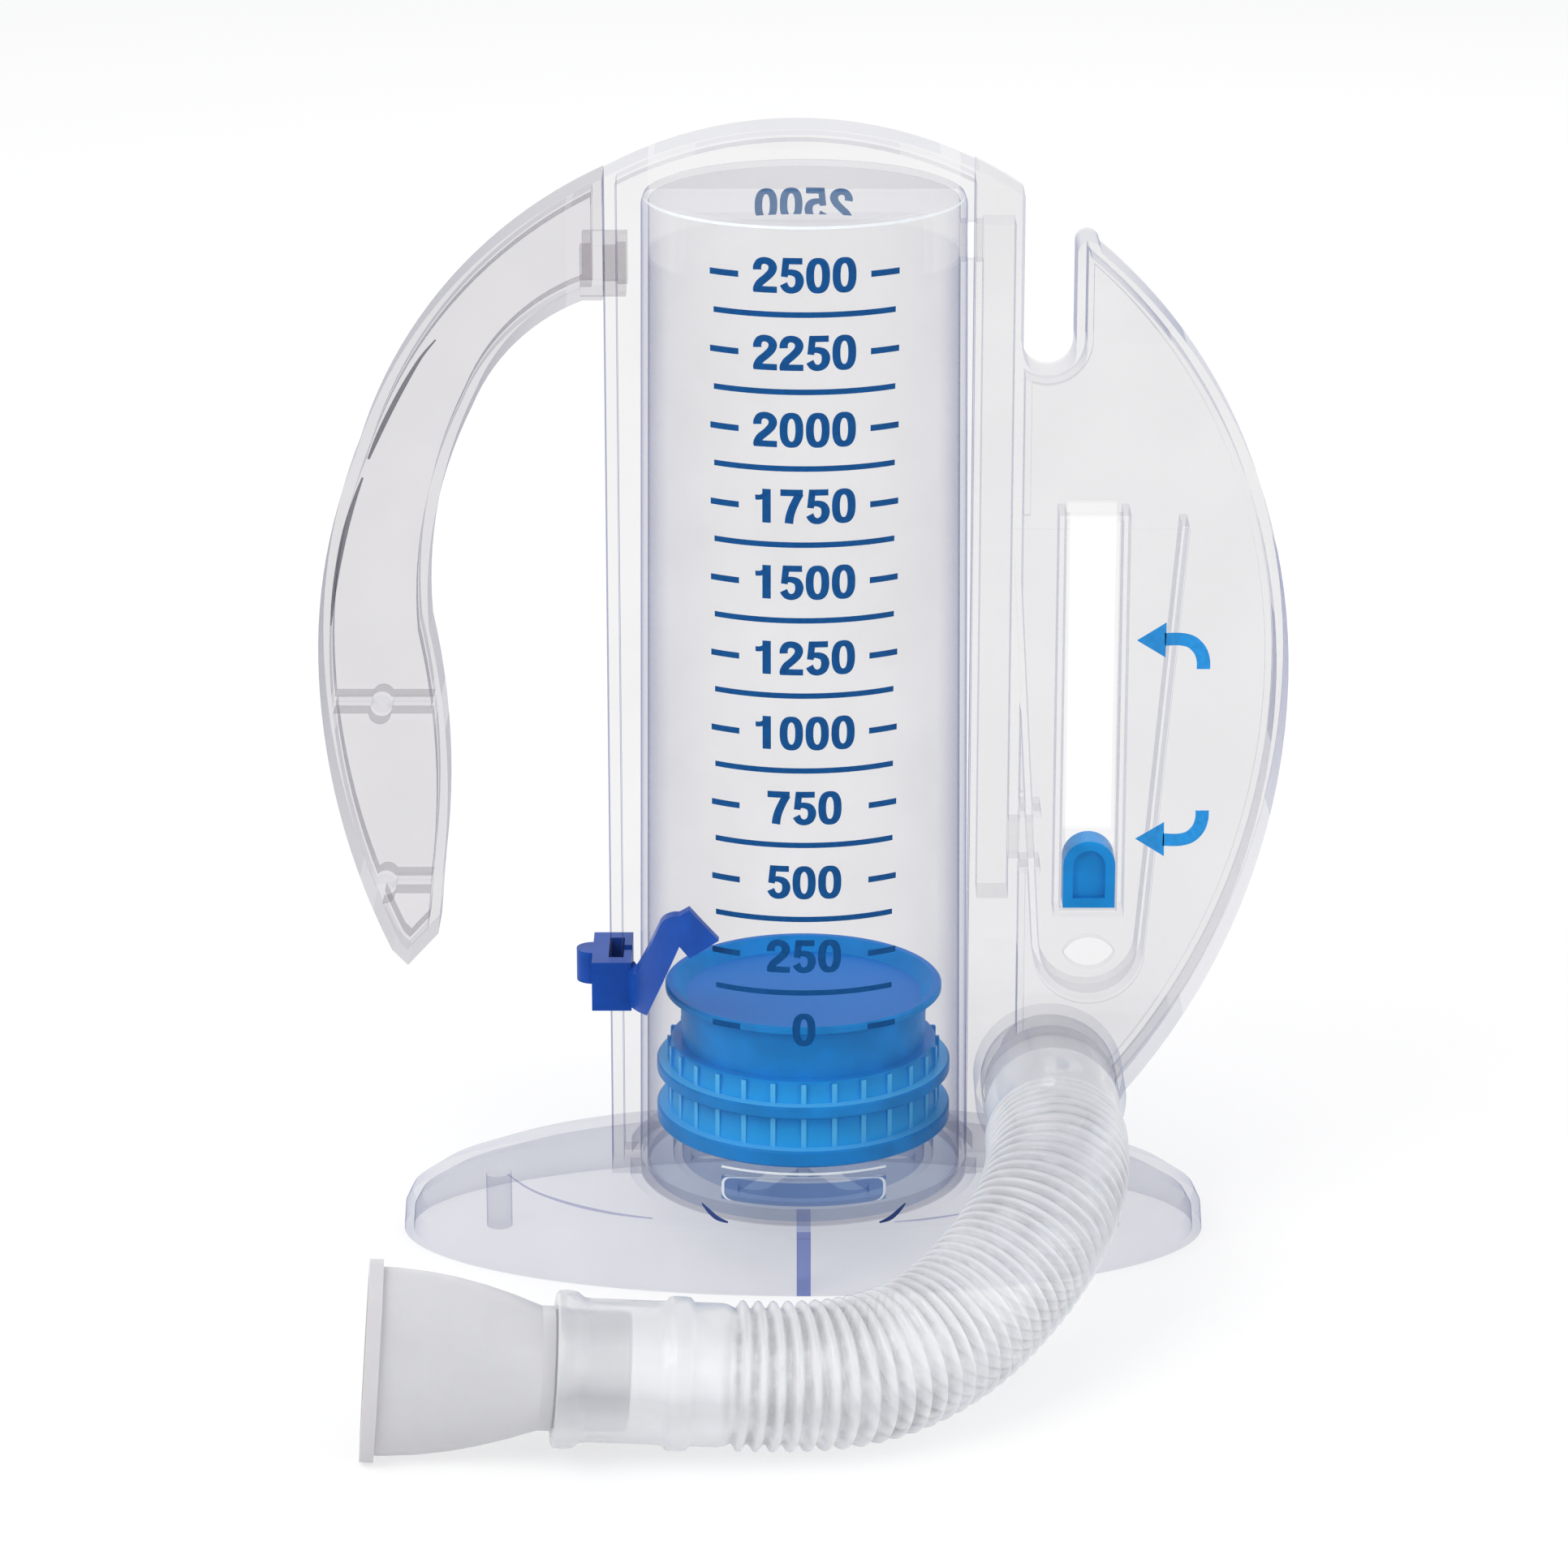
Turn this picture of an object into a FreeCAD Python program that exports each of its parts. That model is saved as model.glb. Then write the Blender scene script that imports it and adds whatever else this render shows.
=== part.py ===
import FreeCAD, Part
import math
import os
import Sketcher

# Incentive spirometer: a clear measuring cylinder with a loose piston, an air duct and a flow
# channel beside it, a carrying handle, an oval base and a corrugated hose with a mouthpiece.
# X runs to the right, Y away from the viewer and Z up. The origin is on the ground, on the
# axis of the measuring cylinder. Lengths are millimetres and angles are degrees.

SIZES = (
    # alias, value, what it is
    ("overall_height", 228.0, "top of the arch above the ground"),
    ("frame_left", 38.7, "outer face of the left rail from the axis"),
    ("frame_right", 42.4, "outer face of the duct column from the axis"),
    ("frame_depth", 11.0, "front to back size of the frame, the duct and the wing"),
    ("arch_radius", 78.3, "outer radius of the arch"),
    ("arch_centre", -1.3, "arch centre from the axis, towards the right"),
    ("rim_width", 2.4, "width of the raised rim round the frame"),
    ("panel_thickness", 2.4, "flat panel that joins the cylinder to the frame"),
    ("foot_height", 13.6, "underside of the frame and the cylinder above the ground"),
    ("arch_over_cylinder", 13.0, "top of the arch above the closed top of the cylinder"),
    ("cylinder_foot_radius", 33.1, "outer radius of the cylinder at its foot"),
    ("cylinder_top_radius", 31.5, "outer radius of the cylinder at its top"),
    ("cylinder_wall", 1.4, "wall of the measuring cylinder"),
    ("cylinder_corner", 2.0, "rounding where the cylinder wall meets its top"),
    ("inlet_half_width", 16.3, "half the width of the air inlet in the cylinder foot"),
    ("inlet_bottom", 18.0, "lower edge of the air inlet"),
    ("inlet_height", 5.0, "height of the air inlet"),
    ("inlet_corner", 1.6, "corner radius of the air inlet"),
    ("duct_width", 6.2, "inner width of the air duct"),
    ("duct_wall", 1.6, "wall of the air duct"),
    ("duct_bottom", 72.0, "lower end of the air duct"),
    ("duct_below_top", 6.0, "upper end of the air duct below the top of the cylinder"),
    ("duct_port_height", 7.5, "height of the ports at both ends of the duct"),
    ("duct_port_depth", 5.0, "front to back size of the ports"),
    ("wing_reach", 95.4, "widest point of the wing from the axis"),
    ("wing_widest", 118.0, "height of the widest point of the wing"),
    ("wing_wall", 2.2, "side wall of the hollow wing"),
    ("wing_face", 1.8, "front face of the hollow wing"),
    ("wing_shoulder_in", 7.0, "upper bend of the wing in from its widest point"),
    ("wing_shoulder_drop", 68.9, "upper bend of the wing below the top of the arch"),
    ("wing_top_radius", 105.5, "radius of the upper edge of the wing"),
    ("wing_heel_in", 30.7, "lower bend of the wing in from its widest point"),
    ("wing_heel_z", 31.3, "lower bend of the wing above the ground"),
    ("wing_foot_x", 57.0, "where the wing meets the base, from the axis"),
    ("hook_x", 54.9, "centre of the hook tip from the axis"),
    ("hook_drop", 24.2, "centre of the hook tip below the top of the arch"),
    ("hook_radius", 2.3, "radius of the hook tip"),
    ("notch_drop", 48.8, "floor of the hose notch below the top of the arch"),
    ("channel_centre", 57.0, "middle of the flow channel from the axis"),
    ("channel_foot", 51.8, "bottom of the flow channel above the ground"),
    ("channel_head", 149.0, "open top of the flow channel above the ground"),
    ("channel_foot_half", 9.8, "half width of the flow channel above its round foot"),
    ("channel_taper_left", 5.0, "how much the left wall leans out up to the top"),
    ("channel_taper_right", 7.2, "how much the right wall leans out up to the top"),
    ("channel_wall", 1.4, "walls inside the wing"),
    ("channel_raise", 0.8, "how far the channel stands out of the front face"),
    ("window_half", 4.7, "half width of the flow window"),
    ("window_bottom", 70.5, "lower end of the flow window"),
    ("window_top", 149.6, "upper end of the flow window"),
    ("window_recess", 0.6, "depth of the flow window in the face"),
    ("vent_centre", 61.2, "height of the air hole under the flow float"),
    ("vent_half_width", 5.2, "half width of the air hole"),
    ("vent_half_height", 3.4, "half height of the air hole"),
    ("link_bottom", 78.6, "lower edge of the cross duct to the flow channel"),
    ("link_height", 10.3, "height of the cross duct to the flow channel"),
    ("cover_thickness", 1.8, "rear cover of the duct and the wing"),
    ("cover_lip", 1.6, "locating rib of the rear cover inside the wing"),
    ("seat_gap", 0.2, "gap between welded or seated plastic parts"),
    ("handle_reach", 95.4, "widest point of the handle from the axis"),
    ("handle_widest", 122.0, "height of the widest point of the handle"),
    ("handle_bend_in", 8.4, "upper outer bend of the handle in from its widest point"),
    ("handle_bend_drop", 63.6, "upper outer bend of the handle below the top of the arch"),
    ("handle_top_radius", 90.0, "radius of the upper edge of the handle"),
    ("handle_heel_in", 13.2, "lower outer end of the handle in from its widest point"),
    ("handle_heel_z", 62.0, "lower outer end of the handle above the ground"),
    ("handle_tip_z", 58.8, "lowest point of the handle above the ground"),
    ("handle_tip_width", 9.3, "width of the handle near its tip"),
    ("handle_tip_rise", 6.7, "how far the inner corner of the tip is above the lowest point"),
    ("handle_grip", 21.9, "width of the handle at the palm"),
    ("handle_belly", 1.2, "how far the lower grip stands out beyond the tip"),
    ("handle_belly_z", 79.0, "height where the lower grip starts to bow"),
    ("handle_belly_radius", 150.0, "radius of the lower inner edge of the handle"),
    ("handle_palm_drop", 54.0, "upper end of the palm's curve below the top of the arch"),
    ("handle_palm_radius", 88.0, "radius of the inner edge at the palm"),
    ("handle_crook_radius", 38.0, "radius of the inner edge under the root"),
    ("handle_root_flat", 4.0, "level stretch of the underside at the rail"),
    ("handle_depth", 13.0, "front to back size of the handle"),
    ("handle_rib_low", 74.0, "height of the lower cross rib in the handle"),
    ("handle_rib_high", 111.5, "height of the upper cross rib in the handle"),
    ("handle_boss_inset", 11.8, "round bosses on the cross ribs, in from the widest point"),
    ("handle_web", 2.2, "web of the handle between its flanges"),
    ("handle_flange", 2.2, "flange round the handle"),
    ("handle_root_height", 23.7, "height of the handle where it meets the rail"),
    ("sleeve_rise", 1.0, "lower edge of the clips above the underside of the handle"),
    ("sleeve_height", 9.8, "height of the clips on the rail"),
    ("sleeve_wall", 1.9, "wall of the clips on the rail"),
    ("fit_gap", 0.1, "gap of snap fits"),
    ("base_half_length", 81.4, "half the length of the oval base"),
    ("base_half_width", 36.7, "half the width of the oval base"),
    ("base_skirt_lean", 0.4, "how far the skirt of the base leans in"),
    ("base_skirt", 5.5, "height of the upright skirt of the base"),
    ("base_facets", 4.0, "number of facets of the rounded edge of the base"),
    ("base_deck_half_length", 62.0, "half the length of the deck of the base"),
    ("base_deck_half_width", 33.6, "half the width of the deck of the base"),
    ("base_deck", 13.5, "deck of the base above the ground"),
    ("base_wall", 1.8, "wall of the base"),
    ("collar_height", 3.6, "how far the collar round the cylinder stands above the deck"),
    ("collar_wall", 2.2, "wall of the collar"),
    ("peg_distance", 62.0, "pegs under the base from the axis"),
    ("peg_radius", 2.6, "radius of the pegs under the base"),
    ("rib_thickness", 2.6, "rib at the front and back of the base"),
    ("floor_thickness", 2.2, "plate that closes the foot of the cylinder"),
    ("floor_seat_radius", 26.4, "outer radius of the ring that the piston rests on"),
    ("floor_seat_wall", 1.8, "wall of that ring"),
    ("floor_slot_inner", 8.0, "inner end of the slots in the plate, from the axis"),
    ("floor_slot_width", 7.0, "width of the slots in the plate"),
    ("floor_slots", 6.0, "number of slots in the plate"),
    ("piston_rest", 24.4, "underside of the piston at rest"),
    ("piston_ring_radius", 29.6, "outer radius of the guide rings of the piston"),
    ("piston_ring_height", 3.4, "height of the lower guide ring"),
    ("piston_mid_ring", 34.6, "lower edge of the upper guide ring"),
    ("piston_mid_height", 2.5, "height of the upper guide ring"),
    ("piston_tube_radius", 24.4, "outer radius of the tube of the piston cage"),
    ("piston_tube_wall", 1.6, "wall of the tube of the piston cage"),
    ("piston_rib_radius", 28.9, "outer radius of the upright ribs"),
    ("piston_rib_width", 1.1, "thickness of the upright ribs"),
    ("piston_ribs", 24.0, "number of upright ribs"),
    ("crown_bottom", 41.4, "where the crown sits on the piston cage"),
    ("crown_top", 53.4, "top of the crown"),
    ("crown_radius", 27.8, "outer radius of the rim of the crown"),
    ("crown_neck_radius", 24.9, "radius of the crown under its rim"),
    ("crown_rim", 1.4, "height of the rim of the crown"),
    ("crown_wall", 1.6, "wall of the crown"),
    ("crown_dish", 2.6, "depth of the dish in the crown"),
    ("crown_plug", 3.5, "depth of the plug of the crown in the cage"),
    ("float_half", 5.2, "half the width of the flow float"),
    ("float_bottom", 69.8, "underside of the flow float at rest"),
    ("float_height", 14.0, "height of the flow float"),
    ("float_depth", 6.6, "front to back size of the flow float"),
    ("float_dish", 1.2, "depth of the arched recess in the flow float"),
    ("float_border", 2.0, "border of the flow float round its recess"),
    ("float_gap", 0.4, "gap between the flow float and its guides"),
    ("float_travel", 65.5, "how far the flow float rises"),
    ("pointer_bottom", 50.0, "lower edge of the pointer clip at rest"),
    ("pointer_height", 10.2, "height of the pointer clip"),
    ("pointer_wall", 3.3, "wall of the pointer clip"),
    ("pointer_lip", 1.6, "how far the pointer clip reaches past the rim of the rail"),
    ("pointer_gap", 0.3, "gap between the pointer and the rail"),
    ("pointer_arm_gap", 1.2, "gap between the pointer arm and the cylinder foot"),
    ("pointer_arm_thickness", 2.0, "thickness of the pointer arm"),
    ("pointer_tip_x", 16.6, "tip of the pointer from the axis, to the left"),
    ("pointer_tip_z", 73.2, "tip of the pointer above the ground, at rest"),
    ("arm_root_low", 1.5, "lower edge of the pointer arm above the edge of the clip"),
    ("arm_root_high", 8.5, "upper edge of the pointer arm above the edge of the clip"),
    ("arm_heel_in", 3.2, "where the lower edge of the arm turns up, in from the cylinder"),
    ("arm_heel_rise", 1.1, "how far the edges of the arm rise up to there"),
    ("arm_bend_back", 11.6, "where the upper edge of the arm bends, from the tip"),
    ("arm_bend_radius", 6.0, "radius of that bend"),
    ("arrow_length", 5.8, "length of the arrow head of the pointer"),
    ("arrow_half", 5.0, "half height of the arrow head"),
    ("arrow_neck_back", 7.8, "neck of the arrow head from the tip"),
    ("arrow_neck_half", 3.2, "half height of that neck"),
    ("port_x", 49.2, "hose port from the axis"),
    ("port_z", 35.3, "hose port above the ground"),
    ("port_radius", 15.0, "outer radius of the hose socket"),
    ("port_length", 14.5, "length of the hose socket"),
    ("port_bore", 9.5, "radius of the air way into the wing"),
    ("port_seat", 2.5, "thickness of the end wall of the hose socket"),
    ("valve_thickness", 1.6, "thickness of the valve seat"),
    ("valve_rim", 1.5, "rim outside the openings of the valve seat"),
    ("valve_way_half", 3.3, "half width of those openings at the rim"),
    ("valve_flap_radius", 10.6, "radius of the valve flap"),
    ("valve_flap_thickness", 0.8, "thickness of the valve flap"),
    ("valve_peg_radius", 1.5, "radius of the peg that holds the flap"),
    ("valve_openings", 4.0, "number of openings in the valve seat"),
    ("hose_radius", 14.0, "outer radius of the corrugated hose"),
    ("hose_bore", 12.4, "inner radius of the corrugated hose"),
    ("cuff_radius", 13.5, "outer radius of the smooth hose cuffs"),
    ("cuff_bore", 11.1, "inner radius of the smooth hose cuffs"),
    ("cuff_bead_radius", 14.2, "outer radius of the bead on the mouth cuff"),
    ("cuff_bead_width", 3.6, "width of the bead on the mouth cuff"),
    ("cuff_bead_slope", 0.7, "slope at both sides of the bead"),
    ("cuff_bead_distance", 7.5, "bead from the hose end of the mouth cuff"),
    ("cuff_flare_radius", 14.6, "outer radius of the flared end of the mouth cuff"),
    ("cuff_flare_slope", 1.0, "slope in front of the flared end"),
    ("cuff_flare_width", 3.4, "width of the flared end of the mouth cuff"),
    ("mouth_cuff_length", 33.0, "length of the mouth cuff"),
    ("mouth_spigot_radius", 10.9, "outer radius of the mouthpiece inside the cuff"),
    ("mouth_spigot_length", 14.0, "how deep the mouthpiece sits in the cuff"),
    ("mouth_shoulder_radius", 11.5, "radius of the neck of the mouthpiece outside the cuff"),
    ("mouth_neck", 2.4, "length of that neck"),
    ("mouth_swell", 2.2, "how soon the mouthpiece widens past its neck, 1 for a straight cone"),
    ("mouth_length", 34.6, "length of the flared part of the mouthpiece"),
    ("mouth_facets", 6.0, "number of facets along the flare of the mouthpiece"),
    ("mouth_half_height", 18.8, "half height of the mouth end"),
    ("mouth_half_width", 6.6, "half width of the mouth end"),
    ("mouth_wall", 1.5, "wall of the mouthpiece"),
    ("lip_width", 2.6, "width of the lip round the mouth end"),
    ("lip_height", 1.3, "how far the lip stands out"),
    ("mouth_gap", 0.3, "gap between the mouth cuff and the shoulder of the mouthpiece"),
)

# The middle line of the hose, from its socket to the mouth cuff, chosen by hand.
HOSE_ROUTE = (
    (49.2, -42.0, 35.3),
    (49.2, -50.5, 35.3),
    (48.2, -60.5, 33.2),
    (44.6, -70.5, 28.6),
    (37.4, -81.0, 22.4),
    (27.4, -92.5, 16.9),
    (15.6, -102.0, 14.4),
    (1.0, -107.9, 14.3),
    (-13.5, -108.9, 15.38),
)
HOSE_BEND_SHARE = 0.45
UP = FreeCAD.Vector(0, 0, 1)
TOWARDS_VIEWER = FreeCAD.Rotation(FreeCAD.Vector(1, 0, 0), 90)

doc = FreeCAD.newDocument("incentive_spirometer")
sheet = doc.addObject("Spreadsheet::Sheet", "Sizes")


class Size:
    """A length with its value now and the expression that follows the sheet."""

    def __init__(self, value, text):
        self.value = value
        self.text = text

    def joined(self, sign, other, value):
        return Size(value, f"({self.text} {sign} {other.text})")

    def __add__(self, other):
        other = as_size(other)
        return self.joined("+", other, self.value + other.value)

    def __sub__(self, other):
        other = as_size(other)
        return self.joined("-", other, self.value - other.value)

    def __mul__(self, other):
        other = as_size(other)
        return self.joined("*", other, self.value * other.value)

    def __truediv__(self, other):
        other = as_size(other)
        return self.joined("/", other, self.value / other.value)

    def __neg__(self):
        return Size(-self.value, f"(0 - {self.text})")


def as_size(number):
    if isinstance(number, Size):
        return number
    return Size(float(number), repr(float(number)) if number >= 0 else f"(0 - {abs(float(number))})")


def root(size):
    return Size(math.sqrt(size.value), f"sqrt({size.text})")


class Sheet:
    """The driving sizes by name."""

    def __init__(self):
        for row, (alias, value, note) in enumerate(SIZES, start=1):
            sheet.set(f"A{row}", alias)
            sheet.set(f"B{row}", str(value))
            sheet.set(f"C{row}", note)
            sheet.setAlias(f"B{row}", alias)
            setattr(self, alias, Size(value, f"Sizes.{alias}"))


at = Sheet()
doc.recompute()


def bind(item, path, size):
    item.setExpression(path, as_size(size).text)


def place(item, x=0, y=0, z=0):
    for axis, size in (("x", x), ("y", y), ("z", z)):
        bind(item, f"Placement.Base.{axis}", size)


# Sketches: closed outlines whose corners are bound to the sheet.


def constrain_point(sketch, geometry, point, x, y):
    for kind, size in (("DistanceX", x), ("DistanceY", y)):
        size = as_size(size)
        number = sketch.addConstraint(Sketcher.Constraint(kind, -1, 1, geometry, point, size.value))
        bind(sketch, f"Constraints[{number}]", size)


def arc_between(start, end, radius):
    """The arc from start to end: it turns left for a positive radius, right for a negative one."""
    chord = end - start
    aside = FreeCAD.Vector(-chord.y, chord.x, 0)
    aside.normalize()
    reach = math.sqrt(max(radius * radius - chord.Length * chord.Length / 4, 0))
    centre = (start + end) / 2 + aside * math.copysign(reach, radius)
    first, last = (start, end) if radius > 0 else (end, start)
    angles = [math.atan2(p.y - centre.y, p.x - centre.x) for p in (first, last)]
    circle = Part.Circle(centre, UP, abs(radius))
    return Part.ArcOfCircle(circle, angles[0], angles[1])


def draw_outline(sketch, corners):
    """Closes lines and arcs through the corners.

    A corner's third size is the radius of the arc that leads to it.
    """
    places = [FreeCAD.Vector(as_size(c[0]).value, as_size(c[1]).value, 0) for c in corners]
    ends = []
    for index, corner in enumerate(corners):
        start, end = places[index - 1], places[index]
        if len(corner) == 3:
            radius = as_size(corner[2])
            number = sketch.addGeometry(arc_between(start, end, radius.value))
            ends.append((number, 1, 2) if radius.value > 0 else (number, 2, 1))
        else:
            number = sketch.addGeometry(Part.LineSegment(start, end))
            ends.append((number, 1, 2))
    for index, corner in enumerate(corners):
        number, _, last = ends[index]
        following, first, _ = ends[(index + 1) % len(ends)]
        sketch.addConstraint(Sketcher.Constraint("Coincident", number, last, following, first))
        constrain_point(sketch, number, last, corner[0], corner[1])
        if len(corner) == 3:
            radius = as_size(corner[2])
            size = radius if radius.value > 0 else -radius
            held = sketch.addConstraint(Sketcher.Constraint("Radius", number, size.value))
            bind(sketch, f"Constraints[{held}]", size)
    return sketch


def front_sketch(name, y=0):
    """A sketch that stands upright at depth y and is drawn in X and Z."""
    sketch = doc.addObject("Sketcher::SketchObject", name)
    sketch.Placement = FreeCAD.Placement(FreeCAD.Vector(), TOWARDS_VIEWER)
    bind(sketch, "Placement.Base.y", y)
    return sketch


def origin_feature(body, role):
    return next(item for item in body.Origin.OriginFeatures if item.Role == role)


def body_sketch(body, name, role, offset=0):
    """A sketch on one of the body's own origin planes, moved along its normal."""
    sketch = body.newObject("Sketcher::SketchObject", name)
    sketch.AttachmentSupport = [(origin_feature(body, role), "")]
    sketch.MapMode = "FlatFace"
    bind(sketch, "AttachmentOffset.Base.z", offset)
    return sketch


def rounded_corners(low_x, low_y, high_x, high_y, radius):
    return [
        (low_x + radius, low_y, radius),
        (high_x - radius, low_y),
        (high_x, low_y + radius, radius),
        (high_x, high_y - radius),
        (high_x - radius, high_y, radius),
        (low_x + radius, high_y),
        (low_x, high_y - radius, radius),
        (low_x, low_y + radius),
    ]


# Solids made of outlines, primitives and booleans.


def slab(name, sketch, depth):
    """Extrudes an upright sketch towards the viewer."""
    item = doc.addObject("Part::Extrusion", name)
    item.Base = sketch
    item.DirMode = "Custom"
    item.Dir = FreeCAD.Vector(0, -1, 0)
    item.Solid = True
    bind(item, "LengthFwd", depth)
    return item


def inset(name, sketch, distance):
    item = doc.addObject("Part::Offset2D", name)
    item.Source = sketch
    item.Join = 0
    item.Fill = False
    bind(item, "Value", -as_size(distance))
    return item


def block(name, low, high):
    item = doc.addObject("Part::Box", name)
    for key, axis, start, end in zip(("Length", "Width", "Height"), "xyz", low, high):
        bind(item, f"Placement.Base.{axis}", start)
        bind(item, key, as_size(end) - as_size(start))
    return item


def upright(name, radius, low, high, x=0, y=0):
    item = doc.addObject("Part::Cylinder", name)
    bind(item, "Radius", radius)
    bind(item, "Height", as_size(high) - as_size(low))
    place(item, x, y, low)
    return item


def drum(name, radius, x, z, back, front):
    """A round bar that points towards the viewer."""
    item = doc.addObject("Part::Cylinder", name)
    item.Placement = FreeCAD.Placement(FreeCAD.Vector(), TOWARDS_VIEWER)
    bind(item, "Radius", radius)
    bind(item, "Height", as_size(back) - as_size(front))
    place(item, x, back, z)
    return item


def turned(name, corners):
    """Revolves an outline of radii and heights about the Z axis."""
    item = doc.addObject("Part::Revolution", name)
    item.Source = draw_outline(front_sketch(f"{name}_outline"), corners)
    item.Axis = UP
    item.Angle = 360
    item.Solid = True
    return item


def joined(name, items):
    item = doc.addObject("Part::MultiFuse", name)
    item.Shapes = items
    item.Refine = True
    return item


def cut(name, solid, tool):
    item = doc.addObject("Part::Cut", name)
    item.Base = solid
    item.Tool = tool
    item.Refine = True
    return item


def common(name, items):
    item = doc.addObject("Part::MultiCommon", name)
    item.Shapes = items
    return item


# Features of a body.


def new_body(name):
    item = doc.addObject("PartDesign::Body", name)
    item.Label = name
    return item


def pad(body, name, sketch, length):
    item = body.newObject("PartDesign::Pad", name)
    item.Profile = sketch
    bind(item, "Length", length)
    return item


def pocket(body, name, sketch, length):
    """Cuts from the sketch along its normal."""
    item = body.newObject("PartDesign::Pocket", name)
    item.Profile = sketch
    item.Reversed = True
    bind(item, "Length", length)
    return item


def revolved(body, name, corners, kind="PartDesign::Revolution"):
    sketch = draw_outline(body_sketch(body, f"{name}_outline", "XZ_Plane"), corners)
    item = body.newObject(kind, name)
    item.Profile = sketch
    item.ReferenceAxis = (sketch, ["V_Axis"])
    item.Angle = 360
    return item


def repeated(body, name, feature, count):
    item = body.newObject("PartDesign::PolarPattern", name)
    item.Originals = [feature]
    item.Axis = (origin_feature(body, "Z_Axis"), [""])
    item.Angle = 360
    bind(item, "Occurrences", count)
    body.Tip = item
    return item


# Sizes that several pieces share.

HALF_DEPTH = at.frame_depth / 2
HALF_PANEL = at.panel_thickness / 2
ARCH_Z = at.overall_height - at.arch_radius
CYLINDER_TOP = at.overall_height - at.arch_over_cylinder
DUCT_TOP = CYLINDER_TOP - at.duct_below_top
WING_FRONT = -HALF_DEPTH + at.wing_face
COLUMN_IN = at.frame_right - at.duct_wall * 2 - at.duct_width
COLUMN_OUT = at.frame_right - at.duct_wall
FOOT_INNER = at.cylinder_foot_radius - at.cylinder_wall
PORT_FACE = -HALF_DEPTH
PORT_END = -HALF_DEPTH - at.port_length
VALVE_BACK = PORT_FACE - at.port_seat
PAST = 1.0


def arch_height(x, inset_by):
    """Height of the arch's edge at x, moved in by inset_by."""
    radius = at.arch_radius - inset_by
    aside = as_size(x) - at.arch_centre
    return ARCH_Z + root(radius * radius - aside * aside)


HANDLE_ROOT = arch_height(-at.frame_left, 0) - at.handle_root_height


def bow_radius(across, along):
    """Radius of an arc that stands upright at its widest point."""
    return (across * across + along * along) / (across * 2)


# The housing: cylinder, arch, rail, duct column and wing in one clear moulding.


def frame_outline(name, y):
    left, right = -at.frame_left, at.frame_right
    return draw_outline(front_sketch(name, y), [
        (left, at.foot_height),
        (left, arch_height(left, 0)),
        (right, arch_height(right, 0), -at.arch_radius),
        (right, at.foot_height),
    ])


def recess_outline(name, y):
    left = -at.frame_left + at.rim_width
    bottom = at.foot_height + at.rim_width
    return draw_outline(front_sketch(name, y), [
        (left, bottom),
        (left, arch_height(left, at.rim_width)),
        (COLUMN_IN, arch_height(COLUMN_IN, at.rim_width), -(at.arch_radius - at.rim_width)),
        (COLUMN_IN, bottom),
    ])


def wing_outline(name, y):
    notch_right = at.hook_x - at.hook_radius
    notch_round = (notch_right - at.frame_right) / 2
    notch_floor = at.overall_height - at.notch_drop
    notch_bend = notch_floor + notch_round
    hook_z = at.overall_height - at.hook_drop
    shoulder_z = at.overall_height - at.wing_shoulder_drop
    along_top = shoulder_z - at.wing_widest
    along_foot = at.wing_widest - at.wing_heel_z
    return draw_outline(front_sketch(name, y), [
        (COLUMN_OUT, at.foot_height),
        (COLUMN_OUT, notch_bend + at.duct_wall),
        (at.frame_right, notch_bend),
        (at.frame_right + notch_round, notch_floor, notch_round),
        (notch_right, notch_bend, notch_round),
        (notch_right, hook_z),
        (at.hook_x, hook_z + at.hook_radius, -at.hook_radius),
        (at.hook_x + at.hook_radius, hook_z, -at.hook_radius),
        (at.wing_reach - at.wing_shoulder_in, shoulder_z, -at.wing_top_radius),
        (at.wing_reach, at.wing_widest, -bow_radius(at.wing_shoulder_in, along_top)),
        (at.wing_reach - at.wing_heel_in, at.wing_heel_z, -bow_radius(at.wing_heel_in, along_foot)),
        (at.wing_foot_x, at.foot_height),
    ])


def channel_outline(name, y, grown):
    """The flow channel: a round foot and two walls that lean out, open at the top."""
    middle = at.channel_centre
    half = at.channel_foot_half + grown
    bend = at.channel_foot + at.channel_foot_half
    return draw_outline(front_sketch(name, y), [
        (middle - half, bend),
        (middle, bend - half, half),
        (middle + half, bend, half),
        (middle + half + at.channel_taper_right, at.channel_head),
        (middle - half - at.channel_taper_left, at.channel_head),
    ])


def cylinder_profile(name, inner):
    """The solid of the measuring cylinder, or of its bore."""
    wall = at.cylinder_wall if inner else as_size(0)
    below = as_size(PAST if inner else 0)
    corner = at.cylinder_corner - wall if inner else at.cylinder_corner
    top = CYLINDER_TOP - wall
    top_radius = at.cylinder_top_radius - wall
    eased = corner * (1 - math.sqrt(0.5))
    return turned(name, [
        (0, at.foot_height - below),
        (at.cylinder_foot_radius - wall, at.foot_height - below),
        (top_radius, top - corner),
        (top_radius - eased, top - eased),
        (top_radius - corner, top),
        (0, top),
    ])


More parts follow.
